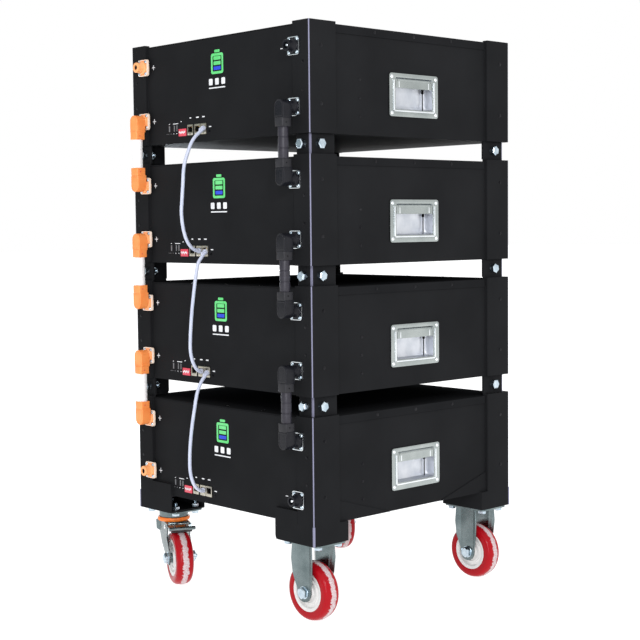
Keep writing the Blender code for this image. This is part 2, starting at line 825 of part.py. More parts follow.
def axle_pieces(centre, axle):
    """Axle, spacers and the bolt head and nut outside the fork."""
    centre = Vector(centre)
    axle = Vector(axle)
    outside = FORK_INSIDE + FORK_SHEET
    pieces = [rod(centre - axle * outside, centre + axle * outside, AXLE_RADIUS, 16)]
    for hand in (-1, 1):
        pieces.append(
            rod(
                centre + axle * hand * (FORK_INSIDE + LAP),
                centre + axle * hand * (HUB_HALF + CLEAR),
                HEAD_RADIUS,
                12,
            )
        )
        pieces.append(
            rod(
                centre + axle * hand * (outside - LAP),
                centre + axle * hand * (outside + AXLE_HEAD),
                HEAD_RADIUS,
                6,
            )
        )
    return pieces


def rounded_foot(centre_u, radius, steps=8):
    """Points of a round fork end below the axle, from one side to the other."""
    points = []
    for i in range(steps + 1):
        angle = math.pi + math.pi * i / steps
        points.append((centre_u + radius * math.cos(angle), radius * math.sin(angle)))
    return points


def caster_plate(x, y):
    half_x, half_y = CASTER_PLATE[0] / 2, CASTER_PLATE[1] / 2
    outline = chamfered_square(half_x, half_y, CASTER_PLATE_CORNER)
    outline = [(x + a, y + b) for a, b in outline]
    return column(outline, PLATE_BOTTOM, PLATE_TOP)


def make_fixed_caster(place, end):
    x, y = FIXED_X, end * CASTER_Y
    centre = (x, y, WHEEL_RADIUS)
    roll, axle = (1, 0, 0), (0, 1, 0)
    leg_top = PLATE_BOTTOM + LAP - WHEEL_RADIUS
    outline = [(FORK_FLAT / 2, leg_top), (-FORK_FLAT / 2, leg_top)]
    outline += rounded_foot(0.0, FORK_FLAT / 2)
    bend = FORK_FLAT / 2 - LAP
    wing = [(0, leg_top), (0, 2), (5.5, 17), (9.5, 31), (WING_WIDTH, 56), (10, leg_top)]
    plate = caster_plate(x, y)
    join = axle_pieces(centre, axle)
    for hand in (-1, 1):
        join.append(fork_leg(outline, centre, roll, axle, hand))
        for away in (-1, 1):
            join.append(fork_wing(wing, away * bend, centre, roll, axle, hand, away))
    combine(plate, join=join)
    finish(plate, f"{place}_fork", "caster_zinc")
    make_wheel(f"{place}_wheel", centre, axle)


def make_swivel_plate(place, x, y):
    plate = caster_plate(x, y)
    cup = rod((x, y, CUP_BOTTOM), (x, y, PLATE_BOTTOM + LAP), CUP_RADIUS, 20)
    nut_top = CROWN_TOP - CROWN_THICK - CLEAR
    nut_low = nut_top - KINGPIN_NUT_THICK
    kingpin = rod((x, y, nut_low + LAP), (x, y, CUP_BOTTOM + LAP), KINGPIN_RADIUS, 12)
    nut = rod((x, y, nut_low), (x, y, nut_top), KINGPIN_NUT_RADIUS, 6)
    combine(plate, join=[cup, kingpin, nut])
    finish(plate, f"{place}_swivel_plate", "caster_zinc")
    seal_low = CROWN_TOP + CLEAR
    profile = [
        (SEAL_BORE, 0),
        (SEAL_RADIUS - 1, 0),
        (SEAL_RADIUS, SEAL_THICK / 2),
        (SEAL_RADIUS - 1, SEAL_THICK),
        (SEAL_BORE, SEAL_THICK),
    ]
    seal = turned(profile, (x, y, seal_low), (0, 0, 1), 20)
    finish(seal, f"{place}_seal_ring", "seal_plastic")


def make_swivel_fork(place, swivel, roll, axle, centre):
    """The turning fork; outline points are (reach along the trail, height above the axle)."""
    top = CROWN_TOP - LAP / 2 - WHEEL_RADIUS
    hinge_up = PEDAL_HINGE_HEIGHT - WHEEL_RADIUS
    back = -TRAIL - FORK_BACK_REACH
    front = FORK_FRONT_REACH - TRAIL
    outline = [(front, top), (back, top), (back, 40), (-TRAIL - 6, 22)]
    outline += rounded_foot(0.0, FORK_FOOT_RADIUS, 6)
    outline += [(9, 15), (-7, 38), (front, hinge_up - 5)]
    low = CROWN_TOP - CROWN_THICK
    half = FORK_INSIDE + FORK_SHEET - LAP / 2
    corners = [
        (-CROWN_HALF, -half),
        (CROWN_HALF, -half),
        (CROWN_HALF + 5, -half + 5),
        (CROWN_HALF + 5, half - 5),
        (CROWN_HALF, half),
        (-CROWN_HALF, half),
    ]
    crown_outline = [swivel + roll * u + axle * v for u, v in corners]
    crown = column([(point.x, point.y) for point in crown_outline], low, CROWN_TOP)
    join = axle_pieces(centre, axle)
    wing = [(0, 40), (WING_WIDTH - 2, 43), (WING_WIDTH - 1, top - 2), (0, top)]
    for hand in (-1, 1):
        join.append(fork_leg(outline, centre, roll, axle, hand))
        join.append(fork_wing(wing, back + LAP, centre, roll, axle, hand, -1))
    down = Vector((0, 0, CROWN_THICK + OVERSHOOT))
    hole = rod(swivel - down, swivel + down, KINGPIN_RADIUS + LAP, 16)
    hinge = swivel + roll * PEDAL_HINGE_REACH
    hinge.z = PEDAL_HINGE_HEIGHT
    reach = axle * (FORK_INSIDE + FORK_SHEET + OVERSHOOT)
    pin_hole = rod(hinge - reach, hinge + reach, PEDAL_PIN_RADIUS + CLEAR, 10)
    combine(crown, join=join, cut=[hole, pin_hole])
    finish(crown, f"{place}_fork", "caster_zinc", swivel)
    return hinge


def make_brake_pedal(place, hinge, roll, axle):
    """A pressed tab with a rolled edge, its pad over the wheel and the hinge rod in the fork."""
    inner = FORK_INSIDE - 2 * CLEAR
    run = PEDAL_END - PEDAL_HINGE_REACH
    sections = [(PEDAL_PIN_RADIUS, FORK_INSIDE + FORK_SHEET - CLEAR), (PEDAL_ROD_RADIUS, inner)]
    body = stepped_rod(hinge, axle, sections)
    tab_narrow = [(-2, 0.5), (10, 2.2), (10, 4.4), (-2, 3.2)]
    tab_wide = [(8, 2.0), (run, 1.0), (run, 3.2), (8, 4.2)]
    pad = [(7, -4.0), (run - 3, -5.0), (run - 3, 1.8), (7, 2.6)]

    def across(outline, half):
        return sheet(outline, hinge + axle * half, roll, (0, 0, 1), 2 * half)

    narrow = across(tab_narrow, inner - LAP)
    wide = across(tab_wide, PEDAL_HALF_WIDTH)
    rubber = across(pad, PEDAL_PAD_HALF)
    edge_at = hinge + roll * run + Vector((0, 0, 1.0))
    edge_half = axle * (PEDAL_HALF_WIDTH + 0.5)
    edge = rod(edge_at - edge_half, edge_at + edge_half, PEDAL_EDGE_RADIUS, 12)
    combine(body, join=[narrow, wide, rubber, edge])
    finish(body, f"{place}_brake_pedal", "caster_zinc", hinge)


def make_swivel_caster(place, end):
    swivel = Vector((-FIXED_X, end * CASTER_Y, CROWN_TOP))
    roll = Vector((math.cos(TRAIL_ANGLE), math.sin(TRAIL_ANGLE), 0))
    axle = Vector((-roll.y, roll.x, 0))
    centre = swivel + roll * TRAIL
    centre.z = WHEEL_RADIUS
    make_swivel_plate(place, swivel.x, swivel.y)
    hinge = make_swivel_fork(place, swivel, roll, axle, centre)
    make_brake_pedal(place, hinge, roll, axle)
    make_wheel(f"{place}_wheel", centre, axle)


def centre_on_origin():
    """Puts the middle of the whole outline over the origin; the jumpers reach out at the front."""
    right = max(FIXED_X + WHEEL_RADIUS, HALF_WIDTH)
    front = HALF_DEPTH + max(JUMPER_OUT.values()) + GLAND_HALF
    shift = Vector(((HALF_WIDTH - right) / 2, (front - HALF_DEPTH) / 2, 0)) * MM
    for obj in bpy.data.objects:
        obj.location = obj.location + shift


def build():
    clear_scene()
    make_materials()
    for number in range(1, MODULES + 1):
        make_case(number)
        make_lid(number)
        make_cells(number)
        for polarity in ("positive", "negative"):
            make_terminals(number, polarity)
            if number < MODULES:
                make_jumper(number, polarity)
        for side in (-1, 1):
            make_handle(number, side)
        if number < MODULES:
            make_comm_cable(number)
    for name, end in (("front", -1), ("rear", 1)):
        make_fixed_caster(f"{name}_right", end)
        make_swivel_caster(f"{name}_left", end)
    centre_on_origin()


build()
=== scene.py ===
"""Looks of a stack of four high-voltage battery modules on casters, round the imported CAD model.

Lengths are in millimetres about the middle of the cases, as in the CAD source, unless a comment
says otherwise. X runs along the front, Y to the rear and Z up. Piece turns them into metres and
moves them by SHIFT, which is how far the CAD model was moved to stand over the origin.
"""

import bisect
import json
import math

import bmesh
import bpy
from mathutils import Matrix, Vector

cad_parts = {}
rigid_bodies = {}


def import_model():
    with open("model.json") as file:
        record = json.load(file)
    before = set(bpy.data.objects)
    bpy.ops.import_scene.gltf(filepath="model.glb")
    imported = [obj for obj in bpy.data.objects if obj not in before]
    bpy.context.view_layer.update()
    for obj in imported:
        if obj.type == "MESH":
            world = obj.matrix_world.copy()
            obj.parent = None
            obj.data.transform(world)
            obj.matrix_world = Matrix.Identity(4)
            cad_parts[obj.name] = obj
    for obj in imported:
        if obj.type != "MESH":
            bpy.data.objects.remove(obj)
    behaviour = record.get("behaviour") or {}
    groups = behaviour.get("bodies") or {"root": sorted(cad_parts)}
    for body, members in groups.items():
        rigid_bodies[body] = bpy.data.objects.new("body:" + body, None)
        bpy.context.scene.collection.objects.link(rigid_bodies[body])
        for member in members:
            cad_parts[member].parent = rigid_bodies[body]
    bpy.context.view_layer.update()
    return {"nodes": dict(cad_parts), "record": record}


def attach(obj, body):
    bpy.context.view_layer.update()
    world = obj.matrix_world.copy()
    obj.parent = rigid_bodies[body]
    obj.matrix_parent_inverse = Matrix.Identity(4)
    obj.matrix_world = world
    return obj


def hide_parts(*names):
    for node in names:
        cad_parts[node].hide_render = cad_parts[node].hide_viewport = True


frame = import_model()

MM = 0.001
SHIFT = Vector((-1.25, 18.75, 0.0))
SHARP_ANGLE = math.radians(38)
SCENE_OBJECTS = bpy.context.scene.collection.objects

# Sizes that the looks share with the CAD model
MODULES = 4
HALF_WIDTH = 241.0
HALF_DEPTH = 247.5
CASE_HEIGHT = 180.0
PITCH = 213.0
STACK_HEIGHT = 988.0
GAP = PITCH - CASE_HEIGHT
POST_PROUD = 7.0
PANEL_X = HALF_WIDTH - POST_PROUD
PANEL_Y = HALF_DEPTH - POST_PROUD
LID_FACE_X = PANEL_X + 1.8
LID_TOP_DEPTH = 3.0
TIE_INSET = 8.5
TIE_FRONT_FLANGE = 33.0
TIE_STACK = 4.3
TIE_BOLT_Y = {"front": HALF_DEPTH - 27.0, "rear": HALF_DEPTH - 38.0}
BOLT_REACH = 10.5
BOLT_HEAD = 6.3
POST_SCREW_Y = HALF_DEPTH - 26.0
POST_SCREW_DEPTHS = (40.5, 133.0)
FRONT_SCREW_X = HALF_WIDTH - 15.0
FRONT_SCREW_DEPTHS = (66.0, 111.5)
PANEL_SCREW_Y = -HALF_DEPTH + 119.0
PANEL_SCREW_DEPTHS = (89.0, 119.0, 149.5)
LID_SCREW_DEPTH = 9.5
LID_SCREW_PITCH = 94.0
LID_SIDE_SCREW_PITCH = 94.5
TERMINAL_X = {"positive": HALF_WIDTH - 40.0, "negative": HALF_WIDTH - 33.0}
TERMINAL_DEPTHS = (40.5, 137.5)
FLANGE_HALF_WIDTH = 13.0
FLANGE_HALF_HEIGHT = 14.0
FLANGE_FACE = 4.3
FLANGE_SCREW_X = 9.2
FLANGE_SCREW_Z = 10.2
COLLAR_RADIUS = 11.5
COLLAR_END = 7.5
BOSS_RADIUS = 9.0
BOSS_END = 20.0
SOCKET_RADIUS = 5.6
SOCKET_MOUTH = {"positive": 4.6, "negative": SOCKET_RADIUS}
PIN_RADIUS = 2.6
PIN_END = BOSS_END - 2.0
SOCKET_DEPTH = 13.0
JUMPER_OUT = {"positive": 18.5, "negative": 27.5}
PLUG_RADIUS = 10.8
PLUG_BACK = 10.5
PLUG_FRONT = 9.0
GLAND_HALF = 10.0
GLAND_START = 18.5
GLAND_LENGTH = 14.0
SLEEVE_RADIUS = {"positive": 8.9, "negative": 8.6}
JACK_TOP = 148.5
JACK_BOTTOM = 167.5
JACK_MIDDLES = (-77.0, -57.0, -40.0)
JACK_SHELL = (8.0, 9.4)
JACK_WELL = (7.4, 8.6)
JACK_HOLE = (6.0, 5.0)
JACK_INSIDE = 17.0
CONTACTS = 8
CONTACT_PITCH = 1.02
SWITCHES = 8
SWITCH_PITCH = 2.26
SWITCH_BLOCK = (-99.5, 161.5)
SWITCH_BLOCK_HALF = (10.5, 6.5)
INDICATORS = (-138.0, -123.6, -116.0)
INDICATOR_DEPTH = 153.25
RESET_AT = (-24.0, 163.0)
SYMBOL_DEPTH = 49.0
# Dashes in place of lettering: left, right, upper and lower depth
PORT_LEGENDS = (
    (-25.0, -18.5, 154.5, 156.3), (-105.5, -102.5, 141.5, 142.8),
    (-127.5, -113.0, 144.5, 145.7), (-140.0, -137.5, 144.5, 145.7),
)
PLUS_X = -HALF_WIDTH + 57.5
MINUS_X = HALF_WIDTH - 73.0
COMM_RADIUS = 3.0
COMM_SPACING = 13.0
# Each lead: (x, out from the posts, down from the upper module's top), as in the CAD source.
COMM_ROUTES = (
    (
        (-41, -15, 157), (-35, -4, 158), (-34, 21, 178), (-36, 33, 204),
        (-38, 39, 226), (-39, 41, 255), (-41, 42, 283), (-43, 42, 306),
        (-44, 37, 335), (-47, 25, 357), (-52, 5, 370), (-57, -15, 371),
    ),
    (
        (-41, -15, 159), (-35, -1, 162), (-34, 14, 178), (-36, 18, 200),
        (-38, 21, 224), (-40, 26, 269), (-42, 28, 311), (-44, 26, 336),
        (-47, 17, 357), (-52, 2, 370), (-57, -15, 371),
    ),
    (
        (-41, -15, 159), (-35, 2, 163), (-35, 18, 186), (-37, 25, 219),
        (-39, 31, 258), (-41, 34, 298), (-43, 32, 332), (-46, 21, 357),
        (-52, 2, 370), (-57, -15, 371),
    ),
)
HANDLE_HALF_WIDTH = 60.25
HANDLE_HALF_HEIGHT = 36.5
HANDLE_MIDDLE_DEPTH = 109.0
HANDLE_PLATE = 2.2
WINDOW_HALF = 45.5
WINDOW_TOP = 79.7
WINDOW_BOTTOM = 133.0
DISH_DEPTH = 19.5
PIVOT_DEPTH = 84.0
BAIL_BOTTOM = 97.0
BEAD_NEAR = WINDOW_HALF + 2.6
BEAD_FAR = WINDOW_HALF + 5.8
RIVET_INSET = 6.0
SPRING_ROD_Y = 36.0
SPRING_ROD_BACK = 14.5
WHEEL_RADIUS = 50.5
WHEEL_HALF = 16.0
HUB_RADIUS = 34.0
CASTER_X = 193.0
CASTER_Y = 205.5
CASTER_PLATE_LOW = 133.7
LEG_FLOOR = 140.0
FORK_OUTSIDE = 22.5
TRAIL = 40.0
TRAIL_ANGLE = math.radians(-23)
PEDAL_REACH = 33.0
PEDAL_HEIGHT = 107.0
PAD_HALF = 19.5
PLATE_BOLT_X = 36.5
PLATE_BOLT_Y = 22.5

SIDES = (("left", -1), ("right", 1))
ENDS = (("front", -1), ("rear", 1))
# The two axes of an outline: a thickened one grows forward, up and to the right in turn.
FRONT_AXES = ((1, 0, 0), (0, 0, 1))
FLAT_AXES = ((1, 0, 0), (0, 1, 0))
SIDE_AXES = ((0, 1, 0), (0, 0, 1))


def module_top(number):
    return STACK_HEIGHT - (number - 1) * PITCH


def module_bottom(number):
    return module_top(number) - CASE_HEIGHT


# ------------------------ camera, floor and light

CAMERA_AT = Vector((1.89405, -1.74475, 0.6623))  # metres, in the row frame
CAMERA_YAW = math.radians(47.158)
CAMERA_PITCH = math.radians(-3.926)
CAMERA_ROLL = math.radians(-0.585)
CAMERA_LENS = 78.716
SENSOR = 36.0


def camera_axes():
    level = math.cos(CAMERA_PITCH)
    forward = Vector(
        (-math.sin(CAMERA_YAW) * level, math.cos(CAMERA_YAW) * level, math.sin(CAMERA_PITCH))
    )
    right = Vector((math.cos(CAMERA_YAW), math.sin(CAMERA_YAW), 0.0))
    up = right.cross(forward)
    turned_right = math.cos(CAMERA_ROLL) * right + math.sin(CAMERA_ROLL) * up
    turned_up = -math.sin(CAMERA_ROLL) * right + math.cos(CAMERA_ROLL) * up
    return turned_right, turned_up, forward


def make_camera():
    right, up, forward = camera_axes()
    data = bpy.data.cameras.new("camera")
    data.lens = CAMERA_LENS
    data.sensor_width = SENSOR
    camera = bpy.data.objects.new("camera", data)
    turn = Matrix((right, up, -forward)).transposed().to_4x4()
    camera.matrix_world = Matrix.Translation(CAMERA_AT) @ turn
    SCENE_OBJECTS.link(camera)
    bpy.context.scene.camera = camera


def smooth_route(points, spacing):
    """Evenly spaced points on a smooth curve through the given ones, as in the CAD source."""
    points = [Vector(point) for point in points]
    ends = [2 * points[0] - points[1], *points, 2 * points[-1] - points[-2]]
    fine = []
    steps = 24
    for before, start, end, after in zip(ends, ends[1:], ends[2:], ends[3:]):
        bend = 2 * before - 5 * start + 4 * end - after
        twist = 3 * start - before - 3 * end + after
        for i in range(steps):
            t = i / steps
            fine.append(0.5 * (2 * start + (end - before) * t + bend * t**2 + twist * t**3))
    fine.append(points[-1])
    lengths = [0.0]
    for start, end in zip(fine, fine[1:]):
        lengths.append(lengths[-1] + (end - start).length)
    count = round(lengths[-1] / spacing)
    route = []
    for i in range(count + 1):
        target = lengths[-1] * i / count
        j = min(bisect.bisect_right(lengths, target) - 1, len(fine) - 2)
        share = (target - lengths[j]) / (lengths[j + 1] - lengths[j])
        route.append(fine[j].lerp(fine[j + 1], share))
    return route, lengths[-1]


# ------------------------ materials


def set_inputs(node, **values):
    """Sets a node's inputs; From_Min stands for the input called From Min."""
    for name, value in values.items():
        node.inputs[name.replace("_", " ")].default_value = value


class Material:
    """A node material with the same few building blocks each time."""

    def __init__(self, name, roughness=0.5, metallic=0.0, specular=0.5):
        self.material = bpy.data.materials.new(name)
        self.material.use_nodes = True
        self.tree = self.material.node_tree
        self.shader = self.tree.nodes["Principled BSDF"]
        set_inputs(
            self.shader, Roughness=roughness, Metallic=metallic, Specular_IOR_Level=specular
        )
        self.where = self.tree.nodes.new("ShaderNodeTexCoord").outputs["Object"]

    def node(self, kind, **settings):
        made = self.tree.nodes.new(kind)
        for key, value in settings.items():
            setattr(made, key, value)
        return made

    def link(self, output, target):
        self.tree.links.new(output, target)

    def stretched(self, scale):
        """The object's own coordinates, stretched for brushed or drawn surfaces."""
        mapping = self.node("ShaderNodeMapping")
        set_inputs(mapping, Scale=scale)
        self.link(self.where, mapping.inputs["Vector"])
        return mapping.outputs["Vector"]

    def noise(self, scale, detail=3.0, stretch=None):
        noise = self.node("ShaderNodeTexNoise")
        set_inputs(noise, Scale=scale, Detail=detail)
        self.link(self.stretched(stretch) if stretch else self.where, noise.inputs["Vector"])
        return noise.outputs["Fac"]

    def ramp(self, value, low, high, start=0.0, end=1.0):
        """value from start to end, mapped to the range from low to high."""
        mapped = self.node("ShaderNodeMapRange")
        set_inputs(mapped, From_Min=start, From_Max=end, To_Min=low, To_Max=high)
        self.link(value, mapped.inputs["Value"])
        return mapped.outputs["Result"]

    def blend(self, share, first, second):
        """Two colours, or outputs, mixed by share."""
        mix = self.node("ShaderNodeMix", data_type="RGBA")
        self.link(share, mix.inputs["Factor"])
        for name, value in (("A", first), ("B", second)):
            socket = [s for s in mix.inputs if s.name == name and s.type == "RGBA"][0]
            if isinstance(value, tuple):
                socket.default_value = (*value, 1.0)
            else:
                self.link(value, socket)
        return [s for s in mix.outputs if s.type == "RGBA"][0]

    def colour(self, output):
        self.link(output, self.shader.inputs["Base Color"])

    def rough(self, output):
        self.link(output, self.shader.inputs["Roughness"])

    def bump(self, height, strength, distance):
        bump = self.node("ShaderNodeBump")
        set_inputs(bump, Strength=strength, Distance=distance)
        self.link(height, bump.inputs["Height"])
        self.link(bump.outputs["Normal"], self.shader.inputs["Normal"])

    def math(self, operation, first, second=None):
        made = self.node("ShaderNodeMath", operation=operation)
        for socket, value in zip(made.inputs, (first, second)):
            if value is None:
                continue
            if isinstance(value, float):
                socket.default_value = value
            else:
                self.link(value, socket)
        return made.outputs[0]


def near_corner(made, x, y, corner_x, corner_y):
    """1 within a few millimetres of the vertical corners at (corner_x, corner_y), else 0."""
    beyond_x = made.ramp(x, 1.0, 0.0, (corner_x + 0.4) * MM, (corner_x + 0.6) * MM)
    beyond_y = made.ramp(y, 1.0, 0.0, (corner_y + 0.4) * MM, (corner_y + 0.6) * MM)
    total = made.math("ADD", x, y)
    sharp = (corner_x + corner_y) * MM
    close = made.ramp(total, 0.0, 1.0, sharp - 0.0031, sharp - 0.0027)
    return made.math("MULTIPLY", close, made.math("MULTIPLY", beyond_x, beyond_y))


def powder_coat(name, specular):
    """Fine textured black powder coat, with a painted highlight along the upright corners: paler in
    colour and smoother there.
    """
    made = Material(name, specular=specular)
    parts = made.node("ShaderNodeSeparateXYZ")
    made.link(made.where, parts.inputs["Vector"])
    x = made.math("ABSOLUTE", made.math("SUBTRACT", parts.outputs["X"], SHIFT.x * MM))
    y = made.math("ABSOLUTE", made.math("SUBTRACT", parts.outputs["Y"], SHIFT.y * MM))
    # Painted highlight: a pale lavender band along the folds of the posts' upright corners, and a
    # dimmer one on the ties, where the key light glints.
    posts = near_corner(made, x, y, HALF_WIDTH, HALF_DEPTH)
    ties = near_corner(made, x, y, HALF_WIDTH - TIE_INSET, HALF_DEPTH - TIE_INSET)
    wear_and_painted_highlight = made.math("MAXIMUM", posts, made.math("MULTIPLY", ties, 0.7))
    patches = made.ramp(made.noise(9.0), 0.0, 1.0, 0.35, 0.7)
    black = made.blend(patches, (0.0128, 0.0132, 0.0142), (0.0158, 0.0163, 0.0175))
    # Paints the pale lavender corner highlight into the black coat.
    made.colour(made.blend(wear_and_painted_highlight, black, (0.25, 0.25, 0.35)))
    grain = made.noise(1500.0, 2.0)
    coat = made.ramp(grain, 0.5, 0.64, 0.3, 0.7)
    made.rough(made.math("SUBTRACT", coat, made.math("MULTIPLY", wear_and_painted_highlight, 0.2)))
    made.bump(grain, 0.25, 0.00012)
    return made.material


def plastic(name, colour, wear_and_painted_highlight, roughness, grain=900.0, specular=0.5, bump=0.08):
    """Moulded plastic: slightly uneven tone, fine spark-eroded grain."""
    made = Material(name, specular=specular)
    made.colour(made.blend(made.ramp(made.noise(60.0), 0.0, 1.0, 0.35, 0.7), colour, wear_and_painted_highlight))
    fine = made.noise(grain, 2.0)
    made.rough(made.ramp(fine, roughness - 0.06, roughness + 0.08, 0.3, 0.7))
    made.bump(fine, bump, 0.0001)
    return made.material


def plated(name, colour, second, roughness, stretch=(1.0, 1.0, 1.0), blotch=25.0, bump=0.06):
    """Zinc plate: blotchy passivation and fine drawing marks in the steel under it."""
    made = Material(name, metallic=1.0)
    patches = made.ramp(made.noise(blotch, 4.0), 0.0, 1.0, 0.35, 0.68)
    made.colour(made.blend(patches, colour, second))
    marks = made.noise(260.0, 3.0, stretch)
    made.rough(made.ramp(marks, roughness - 0.07, roughness + 0.1, 0.3, 0.7))
    made.bump(marks, bump, 0.0002)
    return made.material


def sleeve(name, colour, second):
    """A soft sleeve: faint rings from the mould along its length."""
    made = Material(name, specular=0.4)
    rings = made.noise(90.0, 2.0, (0.2, 0.2, 6.0))
    made.colour(made.blend(made.ramp(rings, 0.0, 1.0, 0.35, 0.65), colour, second))
    made.rough(made.ramp(made.noise(400.0), 0.32, 0.5, 0.3, 0.7))
    made.bump(rings, 0.12, 0.0003)
    return made.material


def tyre_material():
    """Glossy red polyurethane with a pale, ragged band of wear round the middle of the tread."""
    made = Material("tyre_red", specular=0.16)
    parts = made.node("ShaderNodeSeparateXYZ")
    made.link(made.where, parts.inputs["Vector"])
    across = made.math("ABSOLUTE", parts.outputs["Z"])
    ragged = made.ramp(made.noise(260.0, 5.0), -0.0022, 0.0022, 0.3, 0.7)
    edge = made.math("ADD", across, ragged)
    wear_and_painted_highlight = made.ramp(edge, 1.0, 0.0, 0.0046, 0.0056)
    scuffs = made.ramp(made.noise(520.0, 4.0), 0.55, 1.0, 0.35, 0.6)
    band = made.math("MULTIPLY", wear_and_painted_highlight, scuffs)
    red = made.blend(made.noise(30.0), (0.34, 0.003, 0.008), (0.4, 0.005, 0.011))
    made.colour(made.blend(band, red, (0.62, 0.55, 0.56)))
    made.rough(made.ramp(band, 0.2, 0.6))
    made.bump(band, 0.15, 0.0003)
    return made.material


# How the drawing marks of a pressed sheet are stretched along one axis
DRAWN_Z = (0.3, 0.3, 5.0)
DRAWN_Y = (0.3, 4.0, 0.3)

MATERIAL = {
    "case": powder_coat("powder_coat", 0.015),
    "lid": powder_coat("lid_powder_coat", 0.0),
    "cells": plated("cell_cans", (0.5, 0.51, 0.53), (0.6, 0.61, 0.63), 0.4),
    "handle": plated("handle_plate", (0.34, 0.375, 0.37), (0.42, 0.455, 0.445), 0.25, DRAWN_Z),
    "dish": plated("handle_dish", (0.58, 0.61, 0.66), (0.74, 0.76, 0.8), 0.48, DRAWN_Y, 40.0),
    "bright": plated("bright_zinc", (0.78, 0.82, 0.85), (0.9, 0.93, 0.95), 0.18),
    "bolt": plated("bolt_zinc", (0.42, 0.52, 0.6), (0.66, 0.76, 0.82), 0.2, blotch=90.0),
    "fork": plated("fork_zinc", (0.12, 0.155, 0.16), (0.22, 0.265, 0.27), 0.26, (0.4, 0.4, 3.0)),
    "dark_screw": plated("blackened_screw", (0.012, 0.012, 0.014), (0.03, 0.03, 0.033), 0.3),
    "orange": plastic("orange_moulding", (1.0, 0.29, 0.07), (1.0, 0.34, 0.095), 0.38),
    "orange_socket": plastic("orange_socket", (1.0, 0.4, 0.14), (1.0, 0.46, 0.19), 0.34),
    # Pale orange rims: painted highlight along the edges of the orange flanges.
    "orange_rim_highlight": plastic("orange_rim_painted_highlight", (1.0, 0.78, 0.62), (1.0, 0.84, 0.7), 0.4),
    "black": plastic(
        "black_moulding", (0.007, 0.0075, 0.0105), (0.011, 0.0115, 0.015), 0.26, specular=0.2
    ),
    "grey": plastic(
        "gland_moulding", (0.017, 0.017, 0.02), (0.025, 0.025, 0.029), 0.4, specular=0.25
    ),
    "pale_sleeve": sleeve("pale_sleeve", (0.92, 0.9, 0.88), (0.97, 0.96, 0.95)),
    "dark_sleeve": sleeve("violet_grey_sleeve", (0.017, 0.0155, 0.023), (0.026, 0.024, 0.034)),
    "cable": plastic("lead_jacket", (0.52, 0.56, 0.7), (0.6, 0.64, 0.78), 0.35, bump=0.03),
    "plug": plastic("clear_plug", (0.5, 0.49, 0.44), (0.62, 0.6, 0.55), 0.15, bump=0.02),
    "jack": plated("jack_shell", (0.4, 0.37, 0.3), (0.55, 0.52, 0.44), 0.3),
    "gold": plated("gold_contact", (0.85, 0.62, 0.25), (0.95, 0.72, 0.35), 0.2),
    "dip": plastic("switch_red", (0.66, 0.05, 0.09), (0.74, 0.08, 0.12), 0.35),
    "ink": plastic("white_ink", (0.85, 0.86, 0.88), (0.72, 0.73, 0.75), 0.5),
    "dim_ink": plastic("dim_ink", (0.1, 0.1, 0.105), (0.18, 0.18, 0.19), 0.4),
    "green_ink": plastic("green_ink", (0.1, 0.62, 0.17), (0.16, 0.7, 0.24), 0.45),
    "blue_ink": plastic("blue_ink", (0.01, 0.05, 0.6), (0.02, 0.08, 0.68), 0.45),
    "tyre": tyre_material(),
    "hub": plastic("hub_nylon", (0.72, 0.71, 0.69), (0.8, 0.79, 0.77), 0.32, specular=0.25),
    "seal": plastic("seal_orange", (0.95, 0.2, 0.02), (1.0, 0.26, 0.04), 0.42),
    "rubber": plastic("pedal_rubber", (0.012, 0.012, 0.013), (0.02, 0.02, 0.022), 0.5),
    # Near-black with almost no sheen: painted shade for the insides of holes, recesses and sockets.
    "hollow_shade": plastic(
        "painted_hollow_shade", (0.003, 0.003, 0.004), (0.005, 0.005, 0.006), 0.6, specular=0.04
    ),
}

# ------------------------ shapes


def new_shape(points_rings):
    """A bmesh from rings of points; neighbouring rings are joined and the ends closed."""
    bm = bmesh.new()
    rings = [[bm.verts.new(point) for point in ring] for ring in points_rings]
    for lower, upper in zip(rings, rings[1:]):
        for i, vert in enumerate(lower):
            j = (i + 1) % len(lower)
            bm.faces.new((vert, lower[j], upper[j], upper[i]))
    return bm, rings


def soften(bm, width, segments=2, angle=math.radians(30)):
    """Rounds every edge that is sharper than angle."""
    bmesh.ops.recalc_face_normals(bm, faces=bm.faces)
    if width > 0:
        edges = [e for e in bm.edges if len(e.link_faces) == 2 and e.calc_face_angle(0) > angle]
        bmesh.ops.bevel(
            bm, geom=edges, offset=width, segments=segments, profile=0.6, affect="EDGES"
        )
    return bm


def prism(outline, origin, along, up, thickness, bevel=0.3, segments=2):
    """An outline of (along, up) points thickened along the cross product of the two axes."""
    along, up = Vector(along).normalized(), Vector(up).normalized()
    near = [Vector(origin) + along * a + up * b for a, b in outline]
    far = [point + along.cross(up) * thickness for point in near]
    bm, rings = new_shape([near, far])
    bm.faces.new(list(reversed(rings[0])))
    bm.faces.new(rings[1])
    return soften(bm, bevel, segments)


def ring_plate(outer, inner, origin, along, up, thickness, bevel=0.3):
    """A flat ring between two outlines with the same number of points."""
    along, up = Vector(along).normalized(), Vector(up).normalized()
    lift = along.cross(up) * thickness

    def ring(outline, raised):
        base = Vector(origin) + (lift if raised else Vector())
        return [base + along * a + up * b for a, b in outline]

    loops = [ring(outer, False), ring(outer, True), ring(inner, True), ring(inner, False)]
    bm, rings = new_shape(loops)
    for i in range(len(outer)):
        j = (i + 1) % len(outer)
        bm.faces.new((rings[3][i], rings[3][j], rings[0][j], rings[0][i]))
    return soften(bm, bevel)


def block(low, high, bevel=0.3, segments=2):
    outline = [(low[0], low[1]), (high[0], low[1]), (high[0], high[1]), (low[0], high[1])]
    return prism(outline, (0, 0, low[2]), *FLAT_AXES, high[2] - low[2], bevel, segments)


